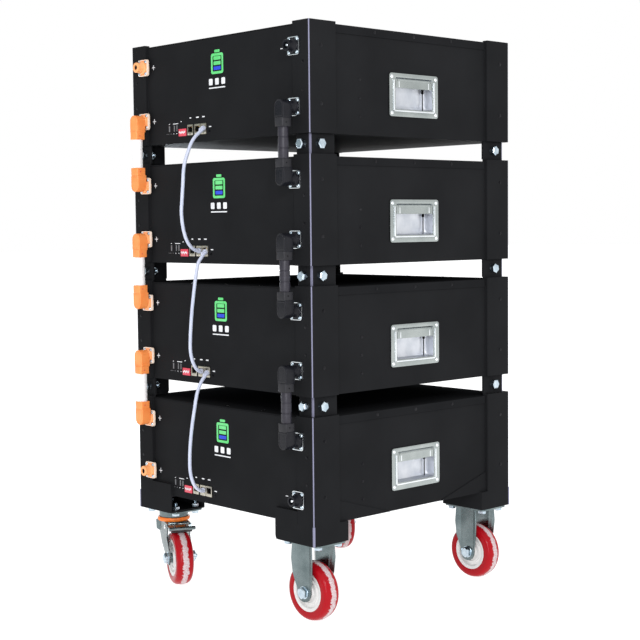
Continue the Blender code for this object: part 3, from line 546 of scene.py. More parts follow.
def rounded(half_u, half_v, radius, centre=(0.0, 0.0), steps=5):
    """Outline of a rectangle with round corners."""
    points = []
    for quarter, (a, b) in enumerate(((1, 1), (-1, 1), (-1, -1), (1, -1))):
        for i in range(steps + 1):
            angle = math.pi / 2 * (quarter + i / steps)
            u = centre[0] + a * (half_u - radius) + radius * math.cos(angle)
            v = centre[1] + b * (half_v - radius) + radius * math.sin(angle)
            points.append((u, v))
    return points


def lathe(profile, centre, axis, sides=32, phase=0.0):
    """(radius, height) points turned about the axis; radius 0 closes an end."""
    axis = Vector(axis).normalized()
    turn = axis.to_track_quat("Z", "Y").to_matrix()
    bm = bmesh.new()
    rings = []
    for radius, height in profile:
        if radius == 0:
            rings.append([bm.verts.new(Vector(centre) + axis * height)] * sides)
            continue
        ring = []
        for i in range(sides):
            angle = phase + 2 * math.pi * i / sides
            spoke = Vector((radius * math.cos(angle), radius * math.sin(angle), height))
            ring.append(bm.verts.new(Vector(centre) + turn @ spoke))
        rings.append(ring)
    pairs = list(zip(rings, rings[1:]))
    if profile[0][0] != 0:
        pairs.append((rings[-1], rings[0]))
    for lower, upper in pairs:
        for i in range(sides):
            j = (i + 1) % sides
            bm.faces.new(list(dict.fromkeys([lower[i], lower[j], upper[j], upper[i]])))
    bmesh.ops.recalc_face_normals(bm, faces=bm.faces)
    return bm


class Piece:
    """One visible piece. Its shapes are drawn in millimetres, each with its own material."""

    def __init__(self, name, body="rack", slot=None, origin=(0, 0, 0), turn=None):
        self.name = name
        self.body = body
        self.slot = slot
        self.origin = Vector(origin)
        self.turn = turn or Matrix.Identity(3)
        self.bm = bmesh.new()
        self.materials = []

    def add(self, shape, material):
        if material not in self.materials:
            self.materials.append(material)
        index = self.materials.index(material)
        for face in shape.faces:
            face.material_index = index
        mesh = bpy.data.meshes.new("shape")
        shape.to_mesh(mesh)
        shape.free()
        self.bm.from_mesh(mesh)
        bpy.data.meshes.remove(mesh)

    def finish(self, *nodes):
        """Makes the object, lets it ride on its body and hides the CAD nodes it stands for."""
        bmesh.ops.scale(self.bm, vec=(MM, MM, MM), verts=self.bm.verts)
        mesh = bpy.data.meshes.new(self.name)
        self.bm.to_mesh(mesh)
        self.bm.free()
        mesh.shade_smooth()
        mesh.set_sharp_from_angle(angle=SHARP_ANGLE)
        for material in self.materials:
            mesh.materials.append(MATERIAL[material])
        obj = bpy.data.objects.new(self.name, mesh)
        SCENE_OBJECTS.link(obj)
        obj.matrix_world = Matrix.Translation((self.origin + SHIFT) * MM) @ self.turn.to_4x4()
        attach(obj, self.body)
        if nodes:
            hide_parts(*nodes)
        return obj


# ------------------------ fasteners


def cross_outline(reach, arm):
    """Outline of a plain cross with arms as thick as twice arm."""
    return [
        (-arm, -reach), (arm, -reach), (arm, -arm), (reach, -arm), (reach, arm), (arm, arm),
        (arm, reach), (-arm, reach), (-arm, arm), (-reach, arm), (-reach, -arm), (-arm, -arm),
    ]


def pan_screw(piece, at, normal, radius, height, material):
    """A pan head with a cross recess."""
    normal = Vector(normal)
    profile = [(0, height), (radius * 0.55, height * 0.97), (radius * 0.85, height * 0.75)]
    profile += [(radius, height * 0.35), (radius, -0.5), (0, -0.5)]
    piece.add(lathe(profile, at, normal, 20), material)
    along = Vector((0, 0, 1)) if abs(normal.z) < 0.5 else Vector((1, 0, 0))
    across = along.cross(normal)
    top = Vector(at) + normal * (height * 0.9)
    # The cross recess is a near-black cross: painted shade in the recess.
    cross = cross_outline(radius * 0.5, radius * 0.12)
    piece.add(prism(cross, top, across, along, -height * 0.13, 0.0), "hollow_shade")


def hex_head(piece, at, normal, across, height, phase=0.0):
    """A six-sided head or nut, measured across its flats."""
    corner = across / math.sqrt(3)
    profile = [(0, height), (corner * 0.8, height), (corner, height * 0.78), (corner, 0), (0, 0)]
    piece.add(lathe(profile, at, normal, 6, phase), "bolt")


def washer(piece, at, normal, outer, thick):
    profile = [(0, thick), (outer - 0.3, thick), (outer, thick - 0.3), (outer, 0), (0, 0)]
    piece.add(lathe(profile, at, normal, 28), "bolt")


def thread_end(piece, at, normal, radius, length):
    """The end of a bolt with its thread as fine rings."""
    profile = [(0, length), (radius * 0.75, length), (radius * 0.8, length - 0.6)]
    pitch = 1.25
    turns = int((length - 1.0) / pitch)
    for i in range(turns):
        top = length - 0.8 - i * pitch
        profile += [(radius, top - pitch / 2), (radius * 0.86, top - pitch)]
    profile += [(radius * 0.86, 0), (0, 0)]
    piece.add(lathe(profile, at, normal, 16), "bolt")


# ------------------------ the leads come first

make_camera()


def rj45_plug(piece, x, z, out_end):
    """A plug in its socket: clear body and latch."""
    front = -HALF_DEPTH
    inside = -PANEL_Y + 6.0
    low, high = (x - 5.8, front - out_end, z - 4.0), (x + 5.8, inside, z + 4.0)
    piece.add(block(low, high, 0.5), "plug")
    low, high = (x - 3.0, front - out_end + 2.0, z + 4.0), (x + 3.0, inside, z + 5.2)
    piece.add(block(low, high), "plug")


def boot(piece, start, heading):
    """The short tapered strain relief behind a plug."""
    profile = [(0, 0), (4.6, 0), (4.4, 4), (3.7, 4.6), (3.6, 8), (3.2, 8.6), (3.15, 11), (0, 11)]
    piece.add(lathe(profile, start, heading, 20), "cable")


def make_comm_cable(number):
    """One communication lead with its two plugs."""
    top = module_top(number)
    points = [(x, -HALF_DEPTH - out, top - down) for x, out, down in COMM_ROUTES[number - 1]]
    route, length = smooth_route(points, COMM_SPACING)
    plugs = Piece(f"comm_plugs_{number}", slot="cable_jacket")
    for end, after in ((route[0], route[2]), (route[-1], route[-3])):
        rj45_plug(plugs, end.x, end.z, -6.5)
        boot(plugs, Vector((end.x, -HALF_DEPTH + 7.5, end.z)), (after - end).normalized())
    plug_piece = plugs.finish()
    curve = bpy.data.curves.new(f"comm_lead_{number}", "CURVE")
    curve.dimensions = "3D"
    curve.bevel_depth = COMM_RADIUS * MM
    curve.bevel_resolution = 6
    curve.resolution_u = 6
    curve.use_fill_caps = True
    spline = curve.splines.new("BEZIER")
    spline.bezier_points.add(len(route) - 1)
    for point, place in zip(spline.bezier_points, route):
        point.co = (place + SHIFT) * MM
        point.handle_left_type = "AUTO"
        point.handle_right_type = "AUTO"
    curve.materials.append(MATERIAL["cable"])
    lead = bpy.data.objects.new(f"comm_lead_{number}", curve)
    SCENE_OBJECTS.link(lead)
    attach(lead, "rack")
    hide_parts(f"comm_cable_{number}")


for lead_number in range(1, MODULES):
    make_comm_cable(lead_number)

# ------------------------ CAD nodes that stay

SLOT_LOOKS = {
    "case_paint": ("case", 0.7),
    "cell_metal": ("cells", 0.5),
    "handle_zinc": ("handle", 0.4),
    "positive_plastic": ("orange_socket", 0.8),
    "negative_plastic": ("black", 0.8),
    "cable_jacket": ("cable", 0.0),
    "wheel_tread": ("tyre", 0.0),
    "caster_zinc": ("fork", 0.5),
    "seal_plastic": ("seal", 0.5),
}
WELD_WITHIN = 0.00002


def dress_cad_node(node, node_name, slot_name):
    """Gives a CAD node its material and softens its edges."""
    look, edge = SLOT_LOOKS[slot_name]
    if node_name.endswith("_lid"):
        look = "lid"
    for slot in node.material_slots:
        slot.link = "OBJECT"
        slot.material = MATERIAL[look]
    if edge:
        weld = node.modifiers.new("weld", "WELD")
        weld.merge_threshold = WELD_WITHIN
        bevel = node.modifiers.new("edges", "BEVEL")
        bevel.width = edge * MM
        bevel.segments = 2
        bevel.limit_method = "ANGLE"
        bevel.angle_limit = math.radians(25)


slot_of = {row["node"]: row["material_slot"] for row in frame["record"]["subparts"]}
for node_name, node_object in frame["nodes"].items():
    dress_cad_node(node_object, node_name, slot_of[node_name])

# ------------------------ modules


def make_tie_bolts(gap):
    """The eight bolts that hold the ties between one module and the next."""
    piece = Piece(f"tie_bolts_{gap}", slot="caster_zinc")
    z = module_bottom(gap) - GAP / 2
    front_x = HALF_WIDTH - TIE_INSET - TIE_FRONT_FLANGE / 2
    for _, side in SIDES:
        for word, end in ENDS:
            reach_x = BOLT_REACH if side > 0 else TIE_INSET
            reach_y = BOLT_REACH if end < 0 else TIE_INSET
            side_at = (side * (HALF_WIDTH - TIE_INSET), end * TIE_BOLT_Y[word], z)
            front_at = (side * front_x, end * (HALF_DEPTH - TIE_INSET), z)
            for at, normal, reach in (
                (side_at, (side, 0, 0), reach_x),
                (front_at, (0, end, 0), reach_y),
            ):
                at, normal = Vector(at), Vector(normal)
                phase = 0.35 * (side + 2 * end + gap)
                under = reach - BOLT_HEAD
                collar = [(0, under), (6.4, under), (7.2, 0), (0, 0)]
                piece.add(lathe(collar, at, normal, 24), "bolt")
                hex_head(piece, at + normal * under, normal, 15.0, BOLT_HEAD, phase=phase)
                back = at - normal * TIE_STACK
                washer(piece, back, -normal, 8.6, 1.4)
                hex_head(piece, back - normal * 1.4, -normal, 16.0, 7.0, phase=phase + 0.2)
                thread_end(piece, back - normal * 7.0, -normal, 4.6, 8.0)
    piece.finish()


def make_screws(number):
    """Screws and rivets on a module's posts, side panels and lid."""
    top = module_top(number)
    piece = Piece(f"module_{number}_screws", slot="case_paint")
    for _, side in SIDES:
        for _, end in ENDS:
            for depth in POST_SCREW_DEPTHS:
                at = (side * HALF_WIDTH, end * POST_SCREW_Y, top - depth)
                pan_screw(piece, at, (side, 0, 0), 3.1, 0.7, "dark_screw")
            for depth in FRONT_SCREW_DEPTHS:
                at = (side * FRONT_SCREW_X, end * HALF_DEPTH, top - depth)
                pan_screw(piece, at, (0, end, 0), 2.6, 0.7, "dark_screw")
        for depth in PANEL_SCREW_DEPTHS:
            at = (side * PANEL_X, PANEL_SCREW_Y, top - depth)
            pan_screw(piece, at, (side, 0, 0), 2.5, 1.0, "dark_screw")
        for i in (-1, 0, 1):
            at = (side * LID_FACE_X, i * LID_SIDE_SCREW_PITCH, top - LID_SCREW_DEPTH)
            pan_screw(piece, at, (side, 0, 0), 2.9, 0.9, "dark_screw")
    for i in (-1, 0, 1):
        for _, end in ENDS:
            at = (i * LID_SCREW_PITCH, end * (PANEL_Y - 12.5), top - LID_TOP_DEPTH)
            pan_screw(piece, at, (0, 0, 1), 2.9, 0.9, "dark_screw")
    piece.finish()


def make_sockets(number, polarity):
    """Rims (bright metal on the black sockets, a pale orange painted highlight on the orange ones),
    screws, round bosses and contact pins of a polarity's two power sockets.
    """
    positive = polarity == "positive"
    x = TERMINAL_X[polarity] * (-1 if positive else 1)
    piece = Piece(f"module_{number}_{polarity}_socket_fittings", slot="caster_zinc")
    # The black sockets get a rim of bright metal; the orange ones a pale orange painted highlight.
    rim = "orange_rim_highlight" if positive else "bright"
    moulding = "orange_socket" if positive else "black"
    mouth = SOCKET_MOUTH[polarity]
    for depth in TERMINAL_DEPTHS:
        z = module_top(number) - depth
        face = -HALF_DEPTH - FLANGE_FACE
        outer = rounded(FLANGE_HALF_WIDTH + 0.6, FLANGE_HALF_HEIGHT + 0.6, 3.4)
        inner = rounded(FLANGE_HALF_WIDTH - 0.7, FLANGE_HALF_HEIGHT - 0.7, 2.4)
        rim_at = (x, -HALF_DEPTH - 0.2, z)
        thick = FLANGE_FACE + 0.3
        piece.add(ring_plate(outer, inner, rim_at, *FRONT_AXES, thick), rim)
        for u in (-FLANGE_SCREW_X, FLANGE_SCREW_X):
            for w in (-FLANGE_SCREW_Z, FLANGE_SCREW_Z):
                pan_screw(piece, (x + u, face, z + w), (0, -1, 0), 3.1, 2.4, "bolt")
        shell = [
            (mouth, BOSS_END - 1.5),
            (mouth, BOSS_END + 0.3),
            (BOSS_RADIUS - 1.2, BOSS_END + 0.3),
            (BOSS_RADIUS + 0.1, BOSS_END - 0.9),
            (BOSS_RADIUS + 0.1, COLLAR_END + 1.6),
            (BOSS_RADIUS + 1.0, COLLAR_END + 0.3),
            (COLLAR_RADIUS - 0.8, COLLAR_END + 0.1),
            (COLLAR_RADIUS + 0.1, COLLAR_END - 0.8),
            (COLLAR_RADIUS + 0.1, FLANGE_FACE - 0.5),
            (BOSS_RADIUS - 1.5, FLANGE_FACE - 0.5),
        ]
        base = (x, -HALF_DEPTH, z)
        piece.add(lathe(shell, base, (0, -1, 0), 40), moulding)
        floor = BOSS_END - SOCKET_DEPTH
        # A near-black disc down in the socket: painted shade inside it.
        shade_disc_depth = PIN_END if positive else floor
        shade = [(0, shade_disc_depth + 0.4), (SOCKET_RADIUS - 0.1, shade_disc_depth + 0.4)]
        shade += [(SOCKET_RADIUS - 0.1, shade_disc_depth), (0, shade_disc_depth)]
        piece.add(lathe(shade, base, (0, -1, 0), 24), "hollow_shade")
        if not positive:
            tip = [(0, PIN_END + 0.4), (PIN_RADIUS - 0.7, PIN_END + 0.4)]
            tip += [(PIN_RADIUS + 0.1, PIN_END - 0.5), (PIN_RADIUS + 0.1, floor), (0, floor)]
            piece.add(lathe(tip, base, (0, -1, 0), 20), "bright")
    piece.finish()


def stadium(half_width, drop, towards, steps=14):
    """A plug outline seen from the front: round at one end and straight at the other."""
    points = []
    for i in range(steps + 1):
        angle = math.pi * i / steps
        points.append((half_width * math.cos(angle), -towards * half_width * math.sin(angle)))
    points.append((-half_width, towards * drop))
    points.append((half_width, towards * drop))
    return points


def make_jumper(number, polarity):
    """A power lead between two modules: plugs, glands and a sleeve."""
    side = -1 if polarity == "positive" else 1
    x = side * TERMINAL_X[polarity]
    upper = module_top(number) - TERMINAL_DEPTHS[1]
    lower = module_top(number + 1) - TERMINAL_DEPTHS[0]
    axis_y = -HALF_DEPTH - JUMPER_OUT[polarity]
    radius = SLEEVE_RADIUS[polarity]
    body, gland, hose = (
        ("orange", "orange", "pale_sleeve") if side < 0 else ("black", "grey", "dark_sleeve")
    )
    piece = Piece(f"{polarity}_power_lead_{number}", slot=f"{polarity}_plastic")
    start = axis_y + PLUG_BACK
    depth = PLUG_BACK + PLUG_FRONT
    for z, towards in ((upper, -1), (lower, 1)):
        outline = stadium(PLUG_RADIUS, GLAND_START + 1.0, towards)
        piece.add(prism(outline, (x, start, z), *FRONT_AXES, depth, 1.8, 4), body)
        ring_outer = stadium(PLUG_RADIUS - 1.6, GLAND_START - 2.0, towards)
        ring_inner = stadium(PLUG_RADIUS - 2.6, GLAND_START - 3.0, towards)
        ring_at = (x, start - depth + 0.2, z)
        piece.add(ring_plate(ring_outer, ring_inner, ring_at, *FRONT_AXES, 0.6, 0.2), gland)
        for i in range(3):
            height = z + towards * (GLAND_START - 2.0 - 2.2 * i)
            outline = rounded(PLUG_RADIUS + 0.2, depth / 2 - 1.0, 1.5, (x, start - depth / 2), 3)
            piece.add(prism(outline, (0, 0, height - 0.45), *FLAT_AXES, 0.9), body)
        outline = rounded(GLAND_HALF, GLAND_HALF, GLAND_HALF * 0.3, (x, axis_y), 4)
        low = min(z + towards * GLAND_START, z + towards * (GLAND_START + GLAND_LENGTH))
        piece.add(prism(outline, (0, 0, low), *FLAT_AXES, GLAND_LENGTH, 1.0, 3), gland)
        # A small disc on the gland for its screw hole: painted shade, near-black on the black gland
        # and switch red on the orange one.
        dot_at = (x + GLAND_HALF - 0.2, axis_y - 2.0, z + towards * (GLAND_START + 7.5))
        dot = [(0, 0.5), (1.1, 0.5), (1.1, 0), (0, 0)]
        piece.add(lathe(dot, dot_at, (1, 0, 0), 16), "hollow_shade" if side > 0 else "dip")
    start = lower + GLAND_START + GLAND_LENGTH - 1.0
    end = upper - GLAND_START - GLAND_LENGTH + 1.0
    span = end - start
    profile = [(0, 0), (radius - 0.6, 0), (radius, 2.0)]
    for third in (1, 2):
        middle = span * third / 3
        profile += [
            (radius, middle - 1.1),
            (radius - 0.7, middle - 0.6),
            (radius - 0.7, middle + 0.6),
            (radius, middle + 1.1),
        ]
    profile += [(radius, span - 2.0), (radius - 0.6, span), (0, span)]
    piece.add(lathe(profile, (x, axis_y, start), (0, 0, 1), 40), hose)
    piece.finish(f"{polarity}_jumper_{number}")


def print_mark(piece, x0, x1, top_depth, low_depth, top, material="ink", radius=0.3):
    """A printed rectangle on the front panel, between two depths below the module's top."""
    outline = rounded((x1 - x0) / 2, (low_depth - top_depth) / 2, radius, steps=2)
    at = ((x0 + x1) / 2, -PANEL_Y + 0.05, top - (top_depth + low_depth) / 2)
    piece.add(prism(outline, at, *FRONT_AXES, 0.2, 0.0), material)


def make_front_print(number):
    """A plain battery symbol, bars and polarity signs printed on the front panel."""
    top = module_top(number)
    piece = Piece(f"module_{number}_front_print")
    at = (0, -PANEL_Y + 0.05, top - SYMBOL_DEPTH)
    outer, inner = rounded(16.5, 17.5, 4.0), rounded(12.2, 13.2, 2.0)
    piece.add(ring_plate(outer, inner, at, *FRONT_AXES, 0.2, 0.0), "green_ink")
    print_mark(piece, -7.0, 7.0, 25.5, 30.0, top, "green_ink", 1.2)
    for i in range(3):
        low = 60.0 - i * 8.6
        ink = "blue_ink" if i == 0 else "green_ink"
        print_mark(piece, -9.6, 9.6, low - 6.2, low, top, ink, 0.8)
    for i in range(3):
        middle = -18.0 + 17.0 * i
        print_mark(piece, middle - 5.0, middle + 5.0, 74.0, 85.0, top, radius=1.6)
    print_mark(piece, -23.0, 21.0, 89.0, 91.0, top, radius=0.5)
    for depth in TERMINAL_DEPTHS:
        at = (PLUS_X, -PANEL_Y + 0.05, top - depth)
        piece.add(prism(cross_outline(4.4, 0.7), at, *FRONT_AXES, 0.2, 0.0), "ink")
        print_mark(piece, MINUS_X - 3.0, MINUS_X + 3.0, depth - 0.6, depth + 0.6, top)
    for middle in JACK_MIDDLES:
        half = 2.2 if middle == JACK_MIDDLES[0] else 3.6
        print_mark(piece, middle - half, middle + half, 136.2, 138.2, top)
    for legend in PORT_LEGENDS:
        print_mark(piece, *legend, top)
    for x in (-146.0, -141.0, -134.0, -126.0, -117.0):
        print_mark(piece, x - 1.2, x + 1.2, 162.0, 163.0, top, "dim_ink" if x < -130 else "ink")
    piece.finish()


def panel_block(piece, middle, half, outs, material, bevel=0.3):
    """A block on the front panel, between two distances in front of the panel's face."""
    (x, z), (half_x, half_z) = middle, half
    low = (x - half_x, -PANEL_Y - outs[1], z - half_z)
    high = (x + half_x, -PANEL_Y - outs[0], z + half_z)
    piece.add(block(low, high, bevel), material)


def make_front_fittings(number):
    """Network sockets, the switch block, indicator bars and the reset hole."""
    top = module_top(number)
    piece = Piece(f"module_{number}_front_fittings", slot="caster_zinc")
    z = top - (JACK_TOP + JACK_BOTTOM) / 2
    hole = rounded(*JACK_HOLE, 0.4, (0, 1.0), steps=2)
    for x in JACK_MIDDLES:
        shell = rounded(*JACK_SHELL, 0.8, steps=2)
        well = rounded(*JACK_WELL, 0.8, steps=2)
        piece.add(ring_plate(shell, hole, (x, -PANEL_Y + 4.0, z), *FRONT_AXES, 5.2), "jack")
        # The well and the block behind it are near-black: painted shade inside the network socket.
        well_at = (x, -PANEL_Y + JACK_INSIDE, z)
        piece.add(ring_plate(well, hole, well_at, *FRONT_AXES, JACK_INSIDE - 4.0, 0.2), "hollow_shade")
        panel_block(piece, (x, z), JACK_WELL, (-JACK_INSIDE - 1.5, -JACK_INSIDE), "hollow_shade")
        for i in range(CONTACTS):
            contact = (x + CONTACT_PITCH * (i - (CONTACTS - 1) / 2), z + 5.1)
            panel_block(piece, contact, (0.25, 0.5), (-12.0, -4.0), "gold", 0.1)
        for u in (-5.2, 5.2):
            panel_block(piece, (x + u, z - 7.3), (1.3, 1.1), (1.0, 1.5), "plug", 0.2)
    x, depth = SWITCH_BLOCK
    panel_block(piece, (x, top - depth), SWITCH_BLOCK_HALF, (-1.0, 1.6), "dip", 0.5)
    for i in range(SWITCHES):
        key_x = x + SWITCH_PITCH * (i - (SWITCHES - 1) / 2)
        raised = 0.8 if (i + number) % 3 else -0.8
        key = (key_x, top - depth + raised)
        panel_block(piece, key, (0.75, 1.7), (1.2, 2.2), "ink", 0.2)
    for x in INDICATORS:
        panel_block(piece, (x, top - INDICATOR_DEPTH), (1.3, 5.25), (-0.5, 0.9), "dim_ink", 0.4)
    profile = [(0, 0.3), (1.1, 0.3), (1.2, 0.9), (1.8, 0.9), (2.0, 0.0), (0, 0.0)]
    reset = (RESET_AT[0], -PANEL_Y, top - RESET_AT[1])
    piece.add(lathe(profile, reset, (0, -1, 0), 20), "dark_screw")
    piece.finish()


# ------------------------ handles


def handle_frame(number, word, side):
    """The pressed plate with its raised border, rivets and dished pocket."""
    top = module_top(number)
    face = PANEL_X + 0.3 + HANDLE_PLATE
    middle = top - HANDLE_MIDDLE_DEPTH
    piece = Piece(f"module_{number}_{word}_handle_plate", slot="handle_zinc")
    window_half = (WINDOW_BOTTOM - WINDOW_TOP) / 2
    window_middle = HANDLE_MIDDLE_DEPTH - (WINDOW_BOTTOM + WINDOW_TOP) / 2

    def outline(half_y, half_z, radius, centre_z=0.0):
        return rounded(half_y, half_z, radius, (0.0, centre_z))

    back = (side * (face - HANDLE_PLATE), 0, middle)
    border = outline(HANDLE_HALF_WIDTH, HANDLE_HALF_HEIGHT, 5.0)
    window = outline(WINDOW_HALF, window_half, 3.0, window_middle)
    piece.add(ring_plate(border, window, back, *SIDE_AXES, side * HANDLE_PLATE, 0.7), "handle")
    bead_low = middle - HANDLE_HALF_HEIGHT + 8.5
    bead_high = top - PIVOT_DEPTH
    beads = [
        ((-BEAD_FAR, bead_low), (-BEAD_NEAR, bead_high)),
        ((BEAD_NEAR, bead_low), (BEAD_FAR, bead_high)),
        ((-BEAD_FAR, bead_low), (BEAD_FAR, bead_low + 2.6)),
    ]
    xs = sorted((side * (face - 0.5), side * (face + 1.3)))
    for (y0, z0), (y1, z1) in beads:
        piece.add(block((xs[0], y0, z0), (xs[1], y1, z1), 0.8), "bright")
    # The spring rod is drawn in the near-black of the painted shade, as a dark line down the
    # pocket.
    rod_at = (side * (face - SPRING_ROD_BACK), SPRING_ROD_Y, top - WINDOW_BOTTOM + 1.0)
    rod_length = WINDOW_BOTTOM - BAIL_BOTTOM
    spring = [(0, 0), (0.9, 0), (0.9, rod_length - 7.0), (2.4, rod_length - 6.0)]
    spring += [(2.4, rod_length), (0, rod_length)]
    piece.add(lathe(spring, rod_at, (0, 0, 1), 14), "hollow_shade")
    loops = []
    # The pocket's wall: depth, how far it has drawn in, and its corner radius.
    wall = ((0.3, 0.0, 3.0), (12.0, 0.5, 4.0), (16.5, 2.0, 6.0), (DISH_DEPTH, 7.0, 8.0))
    for depth, shrink, radius in wall:
        half_y, half_z = WINDOW_HALF - 0.05 - shrink, window_half - 0.05 - shrink
        loop = outline(half_y, half_z, radius, window_middle)
        loops.append([Vector((side * (face - depth), y, middle + z)) for y, z in loop])
    bm, rings = new_shape(loops)
    bm.faces.new(rings[-1])
    bmesh.ops.recalc_face_normals(bm, faces=bm.faces)
    bmesh.ops.reverse_faces(bm, faces=bm.faces)
    piece.add(bm, "dish")
    for y in (-1, 1):
        for z in (-1, 1):
            rivet_y = y * (HANDLE_HALF_WIDTH - RIVET_INSET)
            at = Vector((side * face, rivet_y, middle + z * (HANDLE_HALF_HEIGHT - RIVET_INSET)))
            dome = [(0, 1.9), (1.6, 1.7), (2.9, 1.0), (3.4, 0.0), (0, -0.3)]
            piece.add(lathe(dome, at, (side, 0, 0), 20), "bright")
    piece.finish(f"module_{number}_handle_{word}_frame")


def handle_bail(number, word, side):
    """Fittings on the flap: near-black discs of painted shade at the hinge knuckles' ends, and the
    bright edges beside them.
    """
    top = module_top(number)
    face = PANEL_X + 0.3 + HANDLE_PLATE - 0.3
    name = f"module_{number}_{word}_handle_flap_fittings"
    piece = Piece(name, f"module_{number}_{word}_bail", "handle_zinc")
    for y in (-1, 1):
        # Near-black discs at the hinge ends: painted shade.
        at = (side * (face - 0.2), y * 41.0, top - PIVOT_DEPTH)
        piece.add(lathe([(0, 0.25), (1.4, 0.25), (1.6, 0.0), (0, 0)], at, (side, 0, 0), 18), "hollow_shade")
        ys = sorted((y * 35.5, y * 37.5))
        xs = sorted((side * (face - 0.6), side * (face + 0.15)))
        piece.add(block((xs[0], ys[0], top - 96.0), (xs[1], ys[1], top - 86.0), 0.25), "bright")
    piece.finish()


# ------------------------ casters


def wheel(name, body, centre, axle):
    """Tyre, stepped hub, bearing caps and spacers, drawn about the wheel's own axle."""
    axle = Vector(axle).normalized()
    turn = axle.to_track_quat("Z", "Y").to_matrix()
    piece = Piece(name, body, "wheel_tread", centre, turn)
    half = [(HUB_RADIUS - 1.0, 13.0), (HUB_RADIUS, 15.6), (HUB_RADIUS + 1.5, WHEEL_HALF)]
    shoulder = WHEEL_RADIUS - 9.0
    steps = 7
    for i in range(steps + 1):
        angle = math.pi / 2 * (1 - i / steps)
        half.append((shoulder + 8.0 * math.cos(angle), 5.0 + 11.0 * math.sin(angle)))
    half += [(WHEEL_RADIUS - 0.35, 3.6), (WHEEL_RADIUS, 2.0)]
    tyre = half + [(r, -h) for r, h in reversed(half)]
    piece.add(lathe(tyre, (0, 0, 0), (0, 0, 1), 96), "tyre")
    steps_out = [
        (7.0, 15.0), (12.5, 15.0), (13.0, 14.4), (13.2, 12.2), (18.0, 11.6),
        (18.6, 13.4), (21.5, 13.4), (22.2, 11.4), (27.0, 10.6), (28.2, 14.4),
        (29.0, 14.9), (HUB_RADIUS - 0.2, 14.9), (HUB_RADIUS + 0.3, 14.3),
    ]
    hub = steps_out + [(r, -h) for r, h in reversed(steps_out)]
    piece.add(lathe(hub, (0, 0, 0), (0, 0, 1), 72), "hub")
    for hand in (-1, 1):
        cap = [(6.7, 0), (6.7, 1.0), (10.4, 1.0), (11.0, 0.4), (11.0, 0)]
        piece.add(lathe(cap, (0, 0, hand * 14.8), (0, 0, hand), 36), "fork")
    piece.finish(body)


def caster_bolts(place, word, side, end):
    """Plate bolts: heads under the caster plate, nuts and thread ends on the leg floor."""
    piece = Piece(f"{place}_{word}_caster_bolts", slot="caster_zinc")
    for u in (-PLATE_BOLT_X, PLATE_BOLT_X):
        for w in (-PLATE_BOLT_Y, PLATE_BOLT_Y):
            x, y = side * CASTER_X + u, end * CASTER_Y + w
            down, up = Vector((0, 0, -1)), Vector((0, 0, 1))
            washer(piece, (x, y, CASTER_PLATE_LOW), down, 7.6, 1.2)
            hex_head(piece, (x, y, CASTER_PLATE_LOW - 1.2), down, 12.6, 5.0, phase=0.3 + u + w)
            washer(piece, (x, y, LEG_FLOOR), up, 7.6, 1.2)
            hex_head(piece, (x, y, LEG_FLOOR + 1.2), up, 12.6, 5.6, phase=0.8 + u)
            thread_end(piece, (x, y, LEG_FLOOR + 6.0), up, 3.9, 7.0)
    piece.finish()


def axle_fittings(name, body, centre, axle):
    """Bright bolt head and nut with washers over the fork's ends."""
    piece = Piece(name, body, "caster_zinc")
    axle = Vector(axle).normalized()
    for hand in (-1, 1):
        at = Vector(centre) + axle * hand * FORK_OUTSIDE
        washer(piece, at, axle * hand, 10.8, 1.0)
        hex_head(piece, at + axle * hand * 0.8, axle * hand, 17.6, 6.6, phase=0.5)
    thread_end(piece, Vector(centre) + axle * (FORK_OUTSIDE + 6.0), axle, 4.6, 4.5)
    piece.finish()


def pedal_pad(place, hinge, roll, axle):
    """The rubber pad under the brake tab and the rivets through it."""
    piece = Piece(f"{place}_left_pedal_pad", f"{place}_left_brake_pedal", "seal_plastic")
    across, lift = Vector(axle), Vector((0, 0, 1))
    pad = [(6.5, -3.6), (17.0, -4.6), (27.5, -6.4), (29.6, -1.6), (6.5, 2.0)]
    piece.add(prism(pad, hinge + across * PAD_HALF, roll, lift, 2 * PAD_HALF, 0.8, 3), "rubber")
    rivet = [(0, 1.2), (1.6, 1.0), (2.6, 0.2), (2.6, 0), (0, 0)]
    pin_end = [(0, 2.2), (2.6, 2.2), (3.4, 1.4), (3.4, 0), (0, 0)]
    for hand in (-1, 1):
        at = hinge + roll * 16.0 + across * hand * 11.0 + lift * 3.6
        piece.add(lathe(rivet, at, lift, 20), "bright")
    for hand in (-1, 1):
        at = hinge + across * (hand * 24.3)
        piece.add(lathe(pin_end, at, across * hand, 20), "bright")
    piece.finish()


for module in range(1, MODULES + 1):
    make_screws(module)
    make_front_print(module)
    make_front_fittings(module)
    for pole in ("positive", "negative"):
        make_sockets(module, pole)
        if module < MODULES:
            make_jumper(module, pole)
    if module < MODULES:
        make_tie_bolts(module)
    for side_word, side_sign in SIDES:
        handle_frame(module, side_word, side_sign)
        handle_bail(module, side_word, side_sign)

